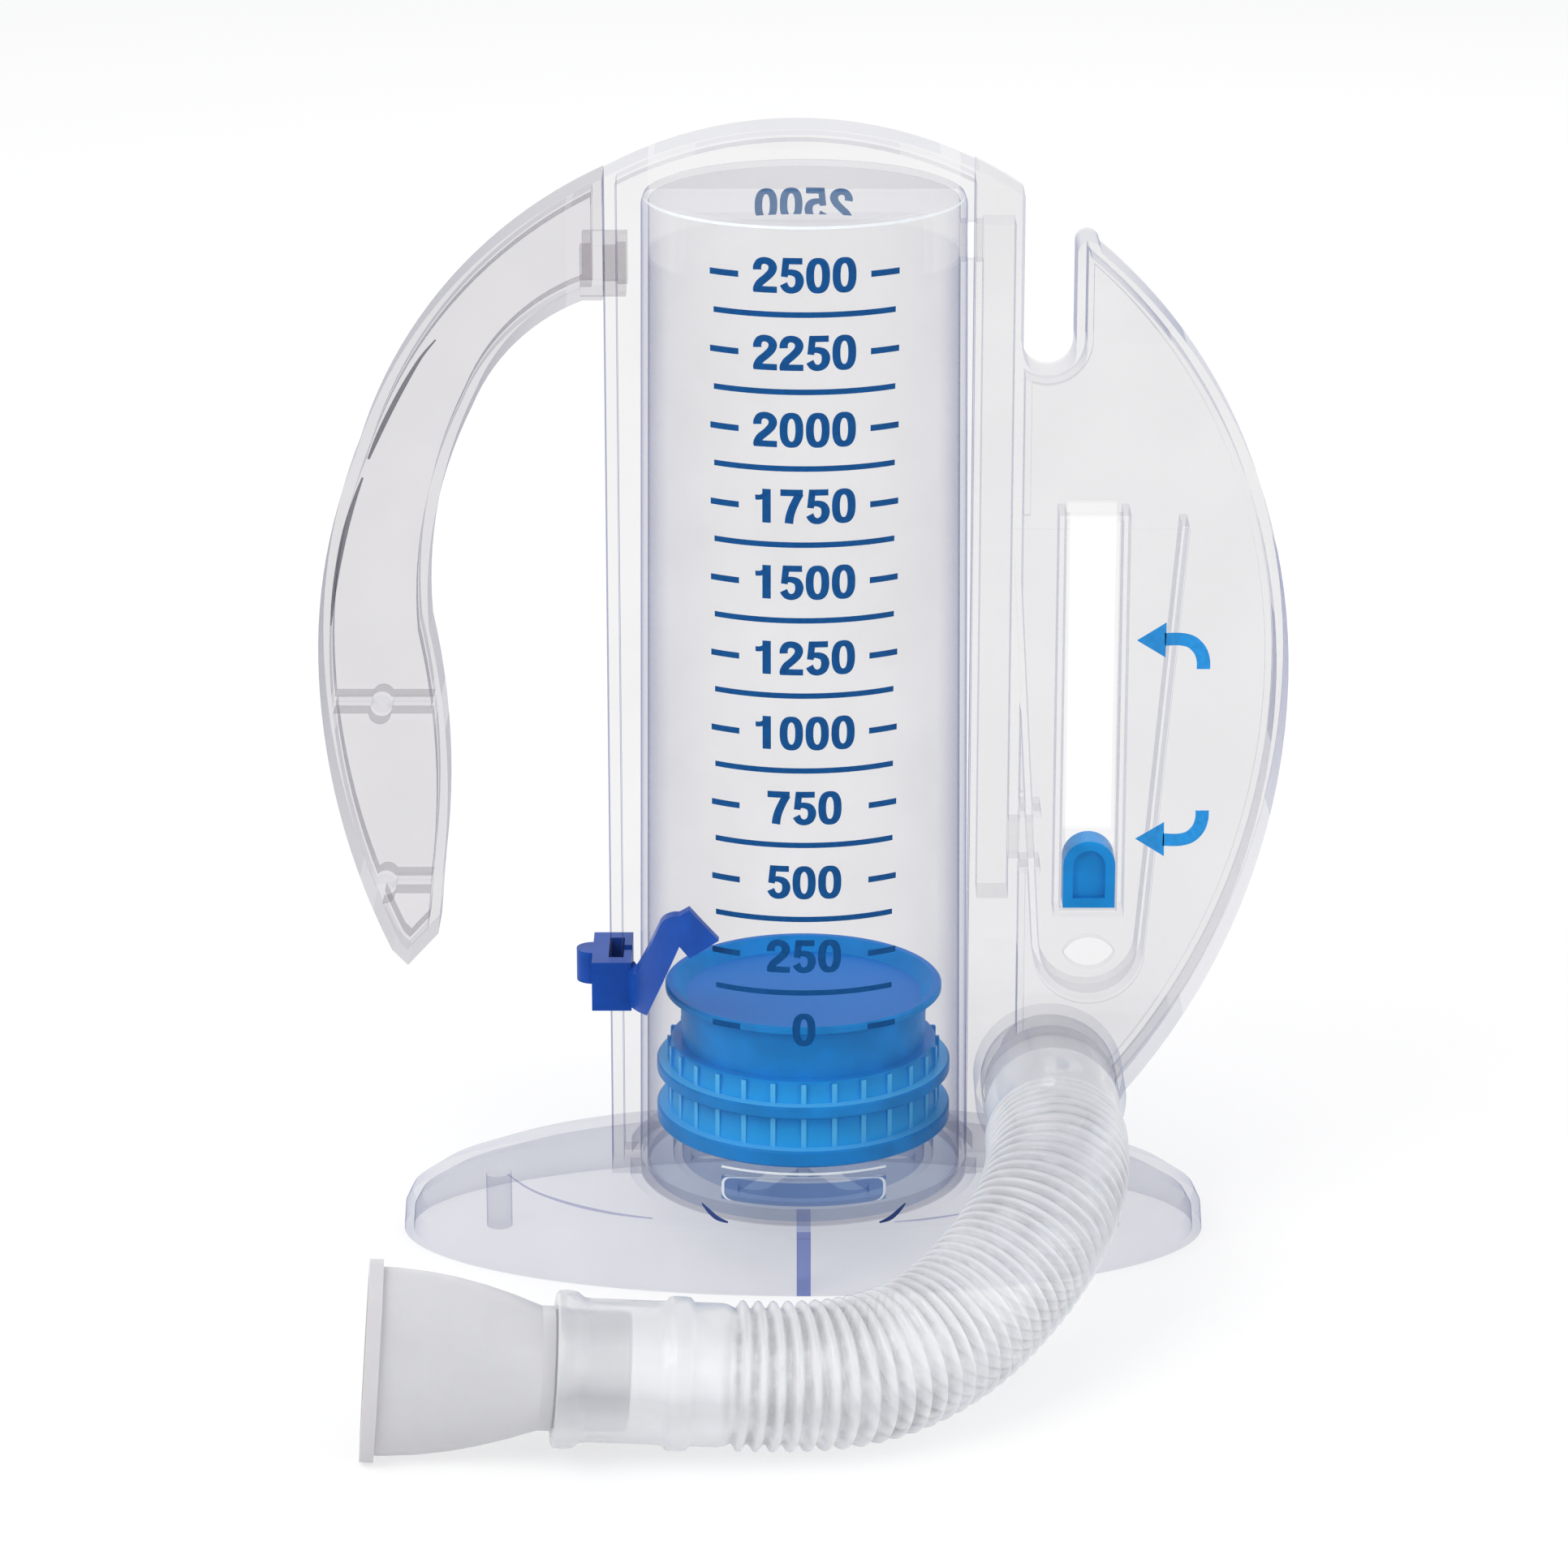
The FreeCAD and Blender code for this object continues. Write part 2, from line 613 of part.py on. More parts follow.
def make_housing():
    frame = slab("frame_block", frame_outline("frame_outline", HALF_DEPTH), at.frame_depth)
    depth = HALF_DEPTH - HALF_PANEL + PAST
    front = slab("front_recess", recess_outline("front_recess_outline", -HALF_PANEL), depth)
    back = slab("back_recess", recess_outline("back_recess_outline", HALF_DEPTH + PAST), depth)
    open_frame = cut("open_frame", frame, joined("recesses", [front, back]))

    wing_shape = wing_outline("wing_outline", HALF_DEPTH)
    wing = slab("wing_block", wing_shape, at.frame_depth)
    grown = at.channel_wall
    raised = channel_outline("raised_outline", PORT_FACE + PAST, grown)
    raised_channel = slab("raised_channel", raised, at.channel_raise + PAST)
    tube = cylinder_profile("cylinder_block", False)
    block_shape = joined("housing_block", [open_frame, wing, tube, raised_channel])

    cavity_shape = inset("cavity_outline", wing_outline("cavity_source", HALF_DEPTH + PAST), at.wing_wall)
    cavity = slab("wing_cavity", cavity_shape, at.frame_depth + PAST - at.wing_face)
    hollows = [cavity, cylinder_profile("cylinder_bore", True)] + air_ways()
    hollow = cut("hollow_housing", block_shape, joined("hollows", hollows))

    housing = joined("housing", [hollow] + inner_walls())
    housing.Label = "housing"
    return housing


def air_ways():
    """The duct, its ports, the vent, the window and the inlet in the cylinder foot."""
    column = COLUMN_IN + at.duct_wall
    back = HALF_DEPTH + PAST
    half_port = at.duct_port_depth / 2
    port_low = DUCT_TOP - at.duct_port_height
    link_mid = at.link_bottom + at.link_height / 2
    duct = block("air_duct", (column, WING_FRONT, at.duct_bottom), (COLUMN_OUT, back, DUCT_TOP))
    upper = block("upper_port", (at.cylinder_top_radius - at.cylinder_wall * 3, -half_port, port_low),
                  (column + PAST, half_port, DUCT_TOP))
    lower = block("lower_port", (COLUMN_OUT - PAST, -half_port, link_mid - at.duct_port_height / 2),
                  (at.frame_right + at.wing_wall, half_port, link_mid + at.duct_port_height / 2))
    port = drum("port_way", at.port_bore, at.port_x, at.port_z, HALF_DEPTH - at.wing_face,
                PORT_FACE - PAST)
    window_floor = PORT_FACE - at.channel_raise + at.window_recess
    window_shape = draw_outline(front_sketch("window_outline", window_floor), [
        (at.channel_centre - at.window_half, at.window_bottom),
        (at.channel_centre + at.window_half, at.window_bottom),
        (at.channel_centre + at.window_half, at.window_top),
        (at.channel_centre - at.window_half, at.window_top),
    ])
    window = slab("window_recess_cut", window_shape, at.window_recess + PAST)
    inlet_corners = rounded_corners(-at.inlet_half_width, at.inlet_bottom, at.inlet_half_width,
                                    at.inlet_bottom + at.inlet_height, at.inlet_corner)
    inlet_shape = draw_outline(front_sketch("inlet_outline", -at.cylinder_top_radius / 2), inlet_corners)
    inlet = slab("inlet_cut", inlet_shape, at.cylinder_foot_radius)
    return [duct, upper, lower, port, window, inlet, vent_cut()]


def vent_cut():
    """A lens-shaped hole: two arcs that meet at the sides."""
    radius = bow_radius(at.vent_half_height, at.vent_half_width)
    shape = draw_outline(front_sketch("vent_outline", WING_FRONT + PAST), [
        (at.channel_centre - at.vent_half_width, at.vent_centre, radius * -1),
        (at.channel_centre + at.vent_half_width, at.vent_centre, radius * -1),
    ])
    return slab("vent_hole", shape, at.wing_face + at.channel_raise + PAST * 2)


def inner_walls():
    """Walls of the flow channel, guides and stops of the float, and the cross duct."""
    back = HALF_DEPTH
    depth = HALF_DEPTH - WING_FRONT
    outer = slab("channel_outer", channel_outline("channel_outer_outline", back, at.channel_wall), depth)
    inner = slab("channel_inner", channel_outline("channel_inner_outline", back + PAST, as_size(0)),
                 depth + PAST * 2)
    link_mid = at.link_bottom + at.link_height / 2
    link_way = block("link_way", (COLUMN_OUT, -at.duct_port_depth / 2, link_mid - at.duct_port_height / 2),
                     (at.channel_centre - at.float_half, at.duct_port_depth / 2,
                      link_mid + at.duct_port_height / 2))
    walls = cut("channel_walls", outer, joined("channel_hollow", [inner, link_way]))
    guide = at.float_half + at.float_gap
    low_stop = at.float_bottom - at.float_gap
    high_stop = at.float_bottom + at.float_height + at.float_travel + at.float_gap
    pieces = [walls]
    for side, sign in (("left", -1), ("right", 1)):
        near = at.channel_centre + guide * sign
        far = near + at.channel_wall * sign
        low, high = (far, near) if sign < 0 else (near, far)
        pieces.append(block(f"guide_{side}", (low, WING_FRONT, low_stop - at.channel_wall),
                            (high, back, high_stop + at.channel_wall)))
    for name, low in (("stop_low", low_stop - at.channel_wall), ("stop_high", high_stop)):
        pieces.append(block(name, (at.channel_centre - guide, WING_FRONT, low),
                            (at.channel_centre + guide, WING_FRONT + at.channel_wall * 2,
                             low + at.channel_wall)))
    for name, low in (("link_floor", at.link_bottom - at.channel_wall),
                      ("link_roof", at.link_bottom + at.link_height)):
        pieces.append(block(name, (COLUMN_OUT, WING_FRONT, low),
                            (at.channel_centre - at.channel_foot_half, back, low + at.channel_wall)))
    return pieces


def make_rear_cover():
    back = HALF_DEPTH + at.cover_thickness
    plate = slab("cover_wing", wing_outline("cover_outline", back), at.cover_thickness)
    frame = slab("cover_frame", frame_outline("cover_frame_outline", back), at.cover_thickness)
    strip = block("cover_strip", (COLUMN_IN, HALF_DEPTH, at.foot_height),
                  (at.frame_right, back, at.overall_height))
    column = common("cover_column", [frame, strip])
    lip_shape = inset("cover_lip_outline", wing_outline("cover_lip_source", HALF_DEPTH),
                      at.wing_wall + at.seat_gap)
    lip = slab("cover_lip_block", lip_shape, at.cover_lip)
    lip_core_shape = inset("cover_core_outline", wing_outline("cover_core_source", HALF_DEPTH),
                           at.wing_wall + at.seat_gap + at.channel_wall)
    lip_core = slab("cover_lip_core", lip_core_shape, at.cover_lip + PAST)
    lip_ring = cut("cover_lip_ring", lip, lip_core)
    link = block("cover_link_gap", (COLUMN_OUT, PORT_FACE, at.link_bottom - at.channel_wall * 2),
                 (at.channel_centre, HALF_DEPTH, at.link_bottom + at.link_height + at.channel_wall * 2))
    channel_shape = channel_outline("cover_channel_outline", HALF_DEPTH, at.channel_wall + at.seat_gap)
    channel = slab("cover_channel_gap", channel_shape, at.frame_depth)
    lip_open = cut("cover_lip_open", lip_ring, joined("cover_gaps", [link, channel]))
    cover = joined("rear_cover", [plate, column, lip_open])
    cover.Label = "rear_cover"
    return cover


# The handle: a hooked I-section that snaps on the left rail.


def handle_outline(name, y):
    root_x = -at.frame_left - at.fit_gap
    bend_z = at.overall_height - at.handle_bend_drop
    along_top = bend_z - at.handle_widest
    along_foot = at.handle_widest - at.handle_heel_z
    heel_x = -at.handle_reach + at.handle_heel_in
    tip_x = heel_x + at.handle_tip_width
    grip_x = -at.handle_reach + at.handle_grip
    return draw_outline(front_sketch(name, y), [
        (root_x, HANDLE_ROOT),
        (root_x, arch_height(-at.frame_left, 0)),
        (-at.handle_reach + at.handle_bend_in, bend_z, at.handle_top_radius),
        (-at.handle_reach, at.handle_widest, bow_radius(at.handle_bend_in, along_top)),
        (heel_x, at.handle_heel_z, bow_radius(at.handle_heel_in, along_foot)),
        (heel_x + at.handle_tip_width / 3, at.handle_tip_z),
        (tip_x, at.handle_tip_z + at.handle_tip_rise),
        (tip_x + at.handle_belly, at.handle_belly_z),
        (grip_x, at.handle_widest + at.handle_tip_rise, at.handle_belly_radius),
        (grip_x + at.handle_tip_width, at.overall_height - at.handle_palm_drop, -at.handle_palm_radius),
        (-at.frame_left - at.handle_root_flat, HANDLE_ROOT, -at.handle_crook_radius),
    ])


def make_handle():
    half = at.handle_depth / 2
    web = at.handle_web / 2
    body = slab("handle_block", handle_outline("handle_outline", half), at.handle_depth)
    depth = half - web + PAST
    front_shape = inset("handle_front_outline", handle_outline("handle_front_source", -web),
                        at.handle_flange)
    back_shape = inset("handle_back_outline", handle_outline("handle_back_source", half + PAST),
                       at.handle_flange)
    recesses = joined("handle_recesses", [slab("handle_front", front_shape, depth),
                                          slab("handle_back", back_shape, depth)])
    section = cut("handle_section", body, recesses)
    handle = joined("handle", [section] + handle_ribs() + handle_clips())
    handle.Label = "handle"
    return handle


def handle_ribs():
    """Cross ribs between the flanges, and the round bosses that stand on them."""
    half = at.handle_depth / 2
    outline = slab("rib_limit", handle_outline("rib_limit_outline", half), at.handle_depth)
    ribs = []
    bosses = []
    for name, height in (("rib_low", at.handle_rib_low), ("rib_high", at.handle_rib_high)):
        ribs.append(block(name, (-at.handle_reach - PAST, -half, height),
                          (-at.frame_left, half, height + at.handle_web / 2)))
        middle = -at.handle_reach + at.handle_boss_inset
        bosses.append(drum(f"{name}_boss", at.handle_web, middle, height, half, -half))
    trimmed = [common(f"{rib.Name}_trimmed", [rib, outline]) for rib in ribs]
    return trimmed + bosses


def handle_clips():
    """Two cheeks that reach round the rim of the rail, with hooks behind it."""
    low = HANDLE_ROOT + at.sleeve_rise
    high = low + at.sleeve_height
    inner = HALF_DEPTH + at.fit_gap
    outer = inner + at.sleeve_wall
    outside = -at.frame_left - at.handle_web * 2
    hook = -at.frame_left + at.rim_width + at.fit_gap
    hook_end = hook + at.sleeve_wall
    hook_in = HALF_PANEL + at.sleeve_wall
    pieces = []
    for side, sign in (("front", -1), ("back", 1)):
        for part, near, start in (("cheek", inner, outside), ("hook", hook_in, hook)):
            first, last = near * sign, outer * sign
            first, last = (last, first) if sign < 0 else (first, last)
            pieces.append(block(f"clip_{part}_{side}", (start, first, low), (hook_end, last, high)))
    for side, sign in (("front", -1), ("back", 1)):
        first, last = (HALF_DEPTH - PAST) * sign, outer * sign
        first, last = (last, first) if sign < 0 else (first, last)
        pieces.append(block(f"clip_root_{side}", (outside, first, low),
                            (-at.frame_left - at.fit_gap, last, high)))
    return pieces


# The base: an oval shell with a collar for the cylinder.


def oval(name, half_length, half_width, z):
    item = doc.addObject("Part::Ellipse", name)
    bind(item, "MajorRadius", half_length)
    bind(item, "MinorRadius", half_width)
    bind(item, "Placement.Base.z", z)
    return item


def oval_loft(name, sections):
    item = doc.addObject("Part::Loft", name)
    item.Sections = [oval(f"{name}_{number}", *section) for number, section in enumerate(sections)]
    item.Solid = True
    item.Ruled = True
    return item


def base_sections(wall, below):
    """Ovals from the ground to the deck, moved in by wall."""
    wall = as_size(wall)
    deck_length, deck_width = at.base_deck_half_length - wall, at.base_deck_half_width - wall
    skirt = at.base_skirt - wall / 2
    lean = at.base_skirt_lean
    sections = [(at.base_half_length - wall, at.base_half_width - wall, -as_size(below))]
    facets = int(at.base_facets.value)
    for number in range(facets + 1):
        turn = math.radians(90) * number / facets
        across, rise = math.cos(turn), math.sin(turn)
        sections.append((
            deck_length + (at.base_half_length - lean - at.base_deck_half_length) * across,
            deck_width + (at.base_half_width - lean / 2 - at.base_deck_half_width) * across,
            skirt + (at.base_deck - wall - skirt) * rise,
        ))
    return sections


def make_base():
    shell = oval_loft("base_block", base_sections(0, 0))
    hollow = oval_loft("base_hollow", base_sections(at.base_wall, PAST))
    socket = at.cylinder_foot_radius + at.seat_gap
    collar = socket + at.collar_wall
    ledge = at.foot_height - at.seat_gap / 2
    collar_top = at.base_deck + at.collar_height
    wall = upright("collar_block", collar, at.base_deck - at.base_wall, collar_top)
    hole = upright("socket_cut", socket, ledge, collar_top + PAST)
    open_shell = cut("open_base", shell, hollow)
    with_collar = joined("base_with_collar", [open_shell, wall])
    limit = oval_loft("base_limit", base_sections(0, 0))
    ribs = []
    for side, sign in (("front", -1), ("back", 1)):
        near = (at.base_deck_half_width - at.base_wall * 3) * sign
        far = (at.base_half_width + PAST) * sign
        low, high = (far, near) if sign < 0 else (near, far)
        rib = block(f"base_rib_{side}", (-at.rib_thickness / 2, low, 0),
                    (at.rib_thickness / 2, high, at.base_deck))
        ribs.append(common(f"base_rib_{side}_trimmed", [rib, limit]))
    pegs = [upright(f"base_peg_{side}", at.peg_radius, 0, at.base_deck - at.base_wall / 2,
                    at.peg_distance * sign, 0)
            for side, sign in (("left", -1), ("right", 1))]
    solid = joined("base_solid", [with_collar] + ribs + pegs)
    passages = joined("base_passages", [hole] + frame_slots())
    base = cut("base", solid, passages)
    base.Label = "base"
    return base


def frame_slots():
    """Slots in the collar that let the rail, the panel and the column down to the deck."""
    socket_top = at.base_deck + at.collar_height + PAST
    half = HALF_DEPTH + at.seat_gap
    left = block("rail_slot", (-at.frame_left - at.seat_gap, -half, at.foot_height - at.seat_gap / 2),
                 (0, half, socket_top))
    right = block("column_slot", (0, -half, at.foot_height - at.seat_gap / 2),
                  (at.wing_foot_x, HALF_DEPTH + at.cover_thickness + at.seat_gap, socket_top))
    return [left, right]


# The chamber floor closes the cylinder foot and carries the resting piston.


def make_chamber_floor():
    body = new_body("chamber_floor")
    bottom = at.foot_height + at.seat_gap / 2
    deck = bottom + at.floor_thickness
    rim = FOOT_INNER - at.seat_gap * 2
    seat_top = at.piston_rest - at.seat_gap
    inner = at.floor_seat_radius - at.floor_seat_wall
    revolved(body, "floor_turned", [
        (0, bottom),
        (rim, bottom),
        (rim, deck),
        (at.floor_seat_radius, deck),
        (at.floor_seat_radius, seat_top),
        (inner, seat_top),
        (inner, deck),
        (0, deck),
    ])
    half = at.floor_slot_width / 2
    slot_shape = draw_outline(body_sketch(body, "slot_outline", "XY_Plane", bottom - PAST), [
        (at.floor_slot_inner, -half),
        (inner - at.floor_seat_wall - half, -half),
        (inner - at.floor_seat_wall, 0, half),
        (inner - at.floor_seat_wall - half, half, half),
        (at.floor_slot_inner, half),
    ])
    slot = pocket(body, "slot_cut", slot_shape, at.floor_thickness + PAST * 2)
    repeated(body, "slots", slot, at.floor_slots)
    return body


# The piston: a ribbed cage with two guide rings, and a dished crown.


def make_piston_cage():
    body = new_body("piston_cage")
    inner = at.piston_tube_radius - at.piston_tube_wall
    low_top = at.piston_rest + at.piston_ring_height
    mid_top = at.piston_mid_ring + at.piston_mid_height
    revolved(body, "cage_turned", [
        (inner, at.piston_rest),
        (at.piston_ring_radius, at.piston_rest),
        (at.piston_ring_radius, low_top),
        (at.piston_tube_radius, low_top),
        (at.piston_tube_radius, at.piston_mid_ring),
        (at.piston_ring_radius, at.piston_mid_ring),
        (at.piston_ring_radius, mid_top),
        (at.piston_tube_radius, mid_top),
        (at.piston_tube_radius, at.crown_bottom),
        (inner, at.crown_bottom),
    ])
    half = at.piston_rib_width / 2
    start = at.piston_tube_radius - at.piston_tube_wall / 2
    rib_shape = draw_outline(body_sketch(body, "rib_outline", "XY_Plane", low_top - at.seat_gap), [
        (start, -half),
        (at.piston_rib_radius, -half),
        (at.piston_rib_radius, half),
        (start, half),
    ])
    rib = pad(body, "rib", rib_shape, at.crown_bottom - low_top)
    repeated(body, "ribs", rib, at.piston_ribs)
    return body


def make_piston_crown():
    body = new_body("piston_crown")
    plug = at.piston_tube_radius - at.piston_tube_wall - at.fit_gap
    floor = at.crown_top - at.crown_dish
    rim_bottom = at.crown_top - at.crown_rim
    bevel = at.crown_wall / 4
    revolved(body, "crown_turned", [
        (0, floor - at.crown_wall),
        (plug - at.crown_wall, floor - at.crown_wall),
        (plug - at.crown_wall, at.crown_bottom - at.crown_plug),
        (plug, at.crown_bottom - at.crown_plug),
        (plug, at.crown_bottom),
        (at.piston_tube_radius, at.crown_bottom),
        (at.crown_neck_radius, rim_bottom - (at.crown_radius - at.crown_neck_radius) / 2),
        (at.crown_radius, rim_bottom),
        (at.crown_radius, at.crown_top - bevel),
        (at.crown_radius - bevel, at.crown_top),
        (at.crown_radius - at.crown_wall, at.crown_top),
        (at.crown_radius - at.crown_wall - at.crown_dish, floor),
        (0, floor),
    ])
    return body


# The flow float rises in the channel while the user breathes in.


def float_shape(body, name, offset, shrunk):
    """The float's outline with its round top, moved in by shrunk."""
    half = at.float_half - shrunk
    low = at.float_bottom + shrunk
    bend = at.float_bottom + at.float_height - at.float_half
    return draw_outline(body_sketch(body, name, "XZ_Plane", offset), [
        (at.channel_centre - half, low),
        (at.channel_centre + half, low),
        (at.channel_centre + half, bend),
        (at.channel_centre, bend + half, half),
        (at.channel_centre - half, bend, half),
    ])


def make_flow_float():
    body = new_body("flow_float")
    front = -(WING_FRONT + at.float_gap)
    outline = float_shape(body, "float_outline", front - at.float_depth, as_size(0))
    pad(body, "float_block", outline, at.float_depth)
    dish = float_shape(body, "float_dish_outline", front - at.float_dish, at.float_border)
    pocket(body, "float_dish_cut", dish, at.float_dish + PAST)
    return body


# The goal pointer slides on the left rail and points at the scale.


def make_goal_pointer():
    low, high = at.pointer_bottom, at.pointer_bottom + at.pointer_height
    gap = at.pointer_gap
    rim_out = -at.frame_left - gap
    rim_in = -at.frame_left + at.rim_width + gap
    half = HALF_DEPTH + gap
    outer_half = half + at.pointer_wall
    inner_edge = rim_in + at.pointer_lip
    clip = block("clip_block", (rim_out - at.pointer_wall, -outer_half, low),
                 (inner_edge, outer_half, high))
    slot = block("clip_slot", (rim_out, -half, low - PAST), (rim_in, half, high + PAST))
    slit = block("clip_slit", (rim_in - PAST, -HALF_PANEL - gap, low - PAST),
                 (inner_edge + PAST, HALF_PANEL + gap, high + PAST))
    clip_open = cut("clip_open", clip, joined("clip_gaps", [slot, slit]))
    lug = upright("clip_lug", at.pointer_wall, high - at.pointer_wall * 2, high,
                  rim_out - at.pointer_wall, 0)
    lug_cut = block("clip_lug_limit", (rim_out - at.pointer_wall * 3, -outer_half, low),
                    (rim_out - at.pointer_wall / 2, outer_half, high))
    pointer = joined("goal_pointer", [clip_open, common("clip_lug_half", [lug, lug_cut]), pointer_arm()])
    pointer.Label = "goal_pointer"
    return pointer


def pointer_arm():
    """A band round the cylinder, trimmed to a slanted arm with an arrow head."""
    inner = at.cylinder_foot_radius + at.pointer_arm_gap
    outer = inner + at.pointer_arm_thickness
    low, high = at.pointer_bottom, at.pointer_tip_z + at.arrow_half + PAST
    ring = cut("arm_ring", upright("arm_ring_block", outer, low, high),
               upright("arm_ring_bore", inner, low - PAST, high + PAST))
    tip_x, tip_z = -at.pointer_tip_x, at.pointer_tip_z
    head_x, neck_x = tip_x - at.arrow_length, tip_x - at.arrow_neck_back
    root_low, root_high = low + at.arm_root_low, low + at.arm_root_high
    shape = draw_outline(front_sketch("arm_outline", -HALF_DEPTH), [
        (-inner - PAST, root_low),
        (-inner + at.arm_heel_in, root_low + at.arm_heel_rise),
        (neck_x, tip_z - at.arrow_neck_half),
        (head_x, tip_z - at.arrow_half),
        (tip_x, tip_z),
        (head_x, tip_z + at.arrow_half),
        (neck_x, tip_z + at.arrow_neck_half),
        (tip_x - at.arm_bend_back, tip_z, at.arm_bend_radius),
        (-inner + PAST, root_high + at.arm_heel_rise),
        (-inner - PAST, root_high),
    ])
    front = slab("arm_front", shape, outer)
    return common("pointer_arm", [ring, front])


# The hose port, its valve and the hose ends.


def make_hose_port():
    shell = drum("port_shell", at.port_radius, at.port_x, at.port_z, PORT_FACE, PORT_END)
    socket = drum("port_socket", at.cuff_radius + at.fit_gap, at.port_x, at.port_z, VALVE_BACK,
                  PORT_END - PAST)
    way = drum("port_hole", at.port_bore, at.port_x, at.port_z, PORT_FACE + PAST, VALVE_BACK - PAST)
    port = cut("hose_port", shell, joined("port_hollow", [socket, way]))
    port.Label = "hose_port"
    return port


def lay_towards_viewer(body, x, y, z):
    body.Placement = FreeCAD.Placement(FreeCAD.Vector(), TOWARDS_VIEWER)
    place(body, x, y, z)
    return body


def make_valve_seat():
    body = new_body("valve_seat")
    hub = at.valve_peg_radius * 2
    revolved(body, "seat_turned", [
        (0, 0),
        (at.cuff_radius, 0),
        (at.cuff_radius, at.valve_thickness),
        (at.valve_peg_radius, at.valve_thickness),
        (at.valve_peg_radius, at.valve_thickness + at.valve_flap_thickness + at.seat_gap * 2),
        (0, at.valve_thickness + at.valve_flap_thickness + at.seat_gap * 2),
    ])
    half = at.valve_peg_radius
    way_shape = draw_outline(body_sketch(body, "way_outline", "XY_Plane", as_size(-PAST)), [
        (hub, -half),
        (at.port_bore - at.valve_rim, -at.valve_way_half),
        (at.port_bore - at.valve_rim, at.valve_way_half, at.port_bore),
        (hub, half),
    ])
    way = pocket(body, "way_cut", way_shape, at.valve_thickness + PAST * 2)
    repeated(body, "ways", way, at.valve_openings)
    return lay_towards_viewer(body, at.port_x, VALVE_BACK, at.port_z)


def make_valve_flap():
    body = new_body("valve_flap")
    bore = at.valve_peg_radius + at.fit_gap
    revolved(body, "flap_turned", [
        (bore, 0),
        (at.valve_flap_radius, 0),
        (at.valve_flap_radius, at.valve_flap_thickness),
        (bore, at.valve_flap_thickness),
    ])
    return lay_towards_viewer(body, at.port_x, VALVE_BACK - at.valve_thickness - at.seat_gap / 2, at.port_z)


def make_port_cuff():
    body = new_body("hose_cuff_port")
    start = VALVE_BACK - at.valve_thickness - at.valve_flap_thickness * 3
    length = start - HOSE_ROUTE[0][1]
    revolved(body, "port_cuff_turned", [
        (at.cuff_bore, 0),
        (at.cuff_radius, 0),
        (at.cuff_radius, length),
        (at.cuff_bore, length),
    ])
    return lay_towards_viewer(body, at.port_x, start, at.port_z)


def make_mouth_cuff():
    body = new_body("hose_cuff_mouth")
    bead = at.cuff_bead_distance
    bead_end = bead + at.cuff_bead_width
    flare = at.mouth_cuff_length - at.cuff_flare_width
    revolved(body, "mouth_cuff_turned", [
        (at.cuff_bore, 0),
        (at.cuff_radius, 0),
        (at.cuff_radius, bead),
        (at.cuff_bead_radius, bead + at.cuff_bead_slope),
        (at.cuff_bead_radius, bead_end - at.cuff_bead_slope),
        (at.cuff_radius, bead_end),
        (at.cuff_radius, flare - at.cuff_flare_slope),
        (at.cuff_flare_radius, flare),
        (at.cuff_flare_radius, at.mouth_cuff_length),
        (at.cuff_bore, at.mouth_cuff_length),
    ])
    body.Placement = FreeCAD.Placement(FreeCAD.Vector(*HOSE_ROUTE[-1]), mouth_turn())
    return body


def mouth_turn():
    """Turns the Z axis to the way that the last run of the hose points."""
    last_run = FreeCAD.Vector(*HOSE_ROUTE[-1]) - FreeCAD.Vector(*HOSE_ROUTE[-2])
    tilt = math.degrees(math.atan2(last_run.z, math.hypot(last_run.x, last_run.y)))
    swing = math.degrees(math.atan2(-last_run.y, -last_run.x))
    lean = FreeCAD.Rotation(FreeCAD.Vector(0, 1, 0), tilt - 90)
    return FreeCAD.Rotation(FreeCAD.Vector(0, 0, 1), swing).multiply(lean)


# The hose: straight runs joined by tangent arcs along the hand-chosen route.


def hose_path():
    points = [FreeCAD.Vector(*point) for point in HOSE_ROUTE]
    edges = []
    radii = []
    start = points[0]
    for before, corner, after in zip(points, points[1:], points[2:]):
        into = (corner - before).normalize()
        out = (after - corner).normalize()
        half_turn = into.getAngle(out) / 2
        cut_back = HOSE_BEND_SHARE * min((corner - before).Length, (after - corner).Length)
        radius = cut_back / math.tan(half_turn)
        first = corner - into * cut_back
        last = corner + out * cut_back
        middle_way = (out - into).normalize()
        middle = corner + middle_way * (radius / math.cos(half_turn) - radius)
        edges.append(Part.LineSegment(start, first).toShape())
        edges.append(Part.Arc(first, middle, last).toShape())
        radii.append(radius)
        start = last
    edges.append(Part.LineSegment(start, points[-1]).toShape())
    return Part.Wire(edges), radii


def make_hose():
    path, radii = hose_path()
    print("hose bend radii, mm:", [round(radius, 1) for radius in radii])
    print("hose length, mm:", round(path.Length, 1))
    tubes = []
    for radius in (at.hose_radius.value, at.hose_bore.value):
        circle = Part.Circle(FreeCAD.Vector(*HOSE_ROUTE[0]), FreeCAD.Vector(0, -1, 0), radius)
        tubes.append(path.makePipeShell([Part.Wire(circle.toShape())], True, False))
    hose = doc.addObject("Part::Feature", "hose")
    hose.Label = "hose"
    hose.Shape = tubes[0].cut(tubes[1])
    section = math.pi * (at.hose_radius.value ** 2 - at.hose_bore.value ** 2)
    share = hose.Shape.Volume / (section * path.Length)
    print("hose volume against section times length:", round(share, 4))
    hose.Placement = FreeCAD.Placement()
    return hose


# The mouthpiece: a round spigot that flares into a flat mouth end.


def mouth_oval(name, half_height, half_width, along):
    item = doc.addObject("Part::Ellipse", name)
    bind(item, "MajorRadius", half_height)
    bind(item, "MinorRadius", half_width)
    bind(item, "Placement.Base.z", along)
    return item


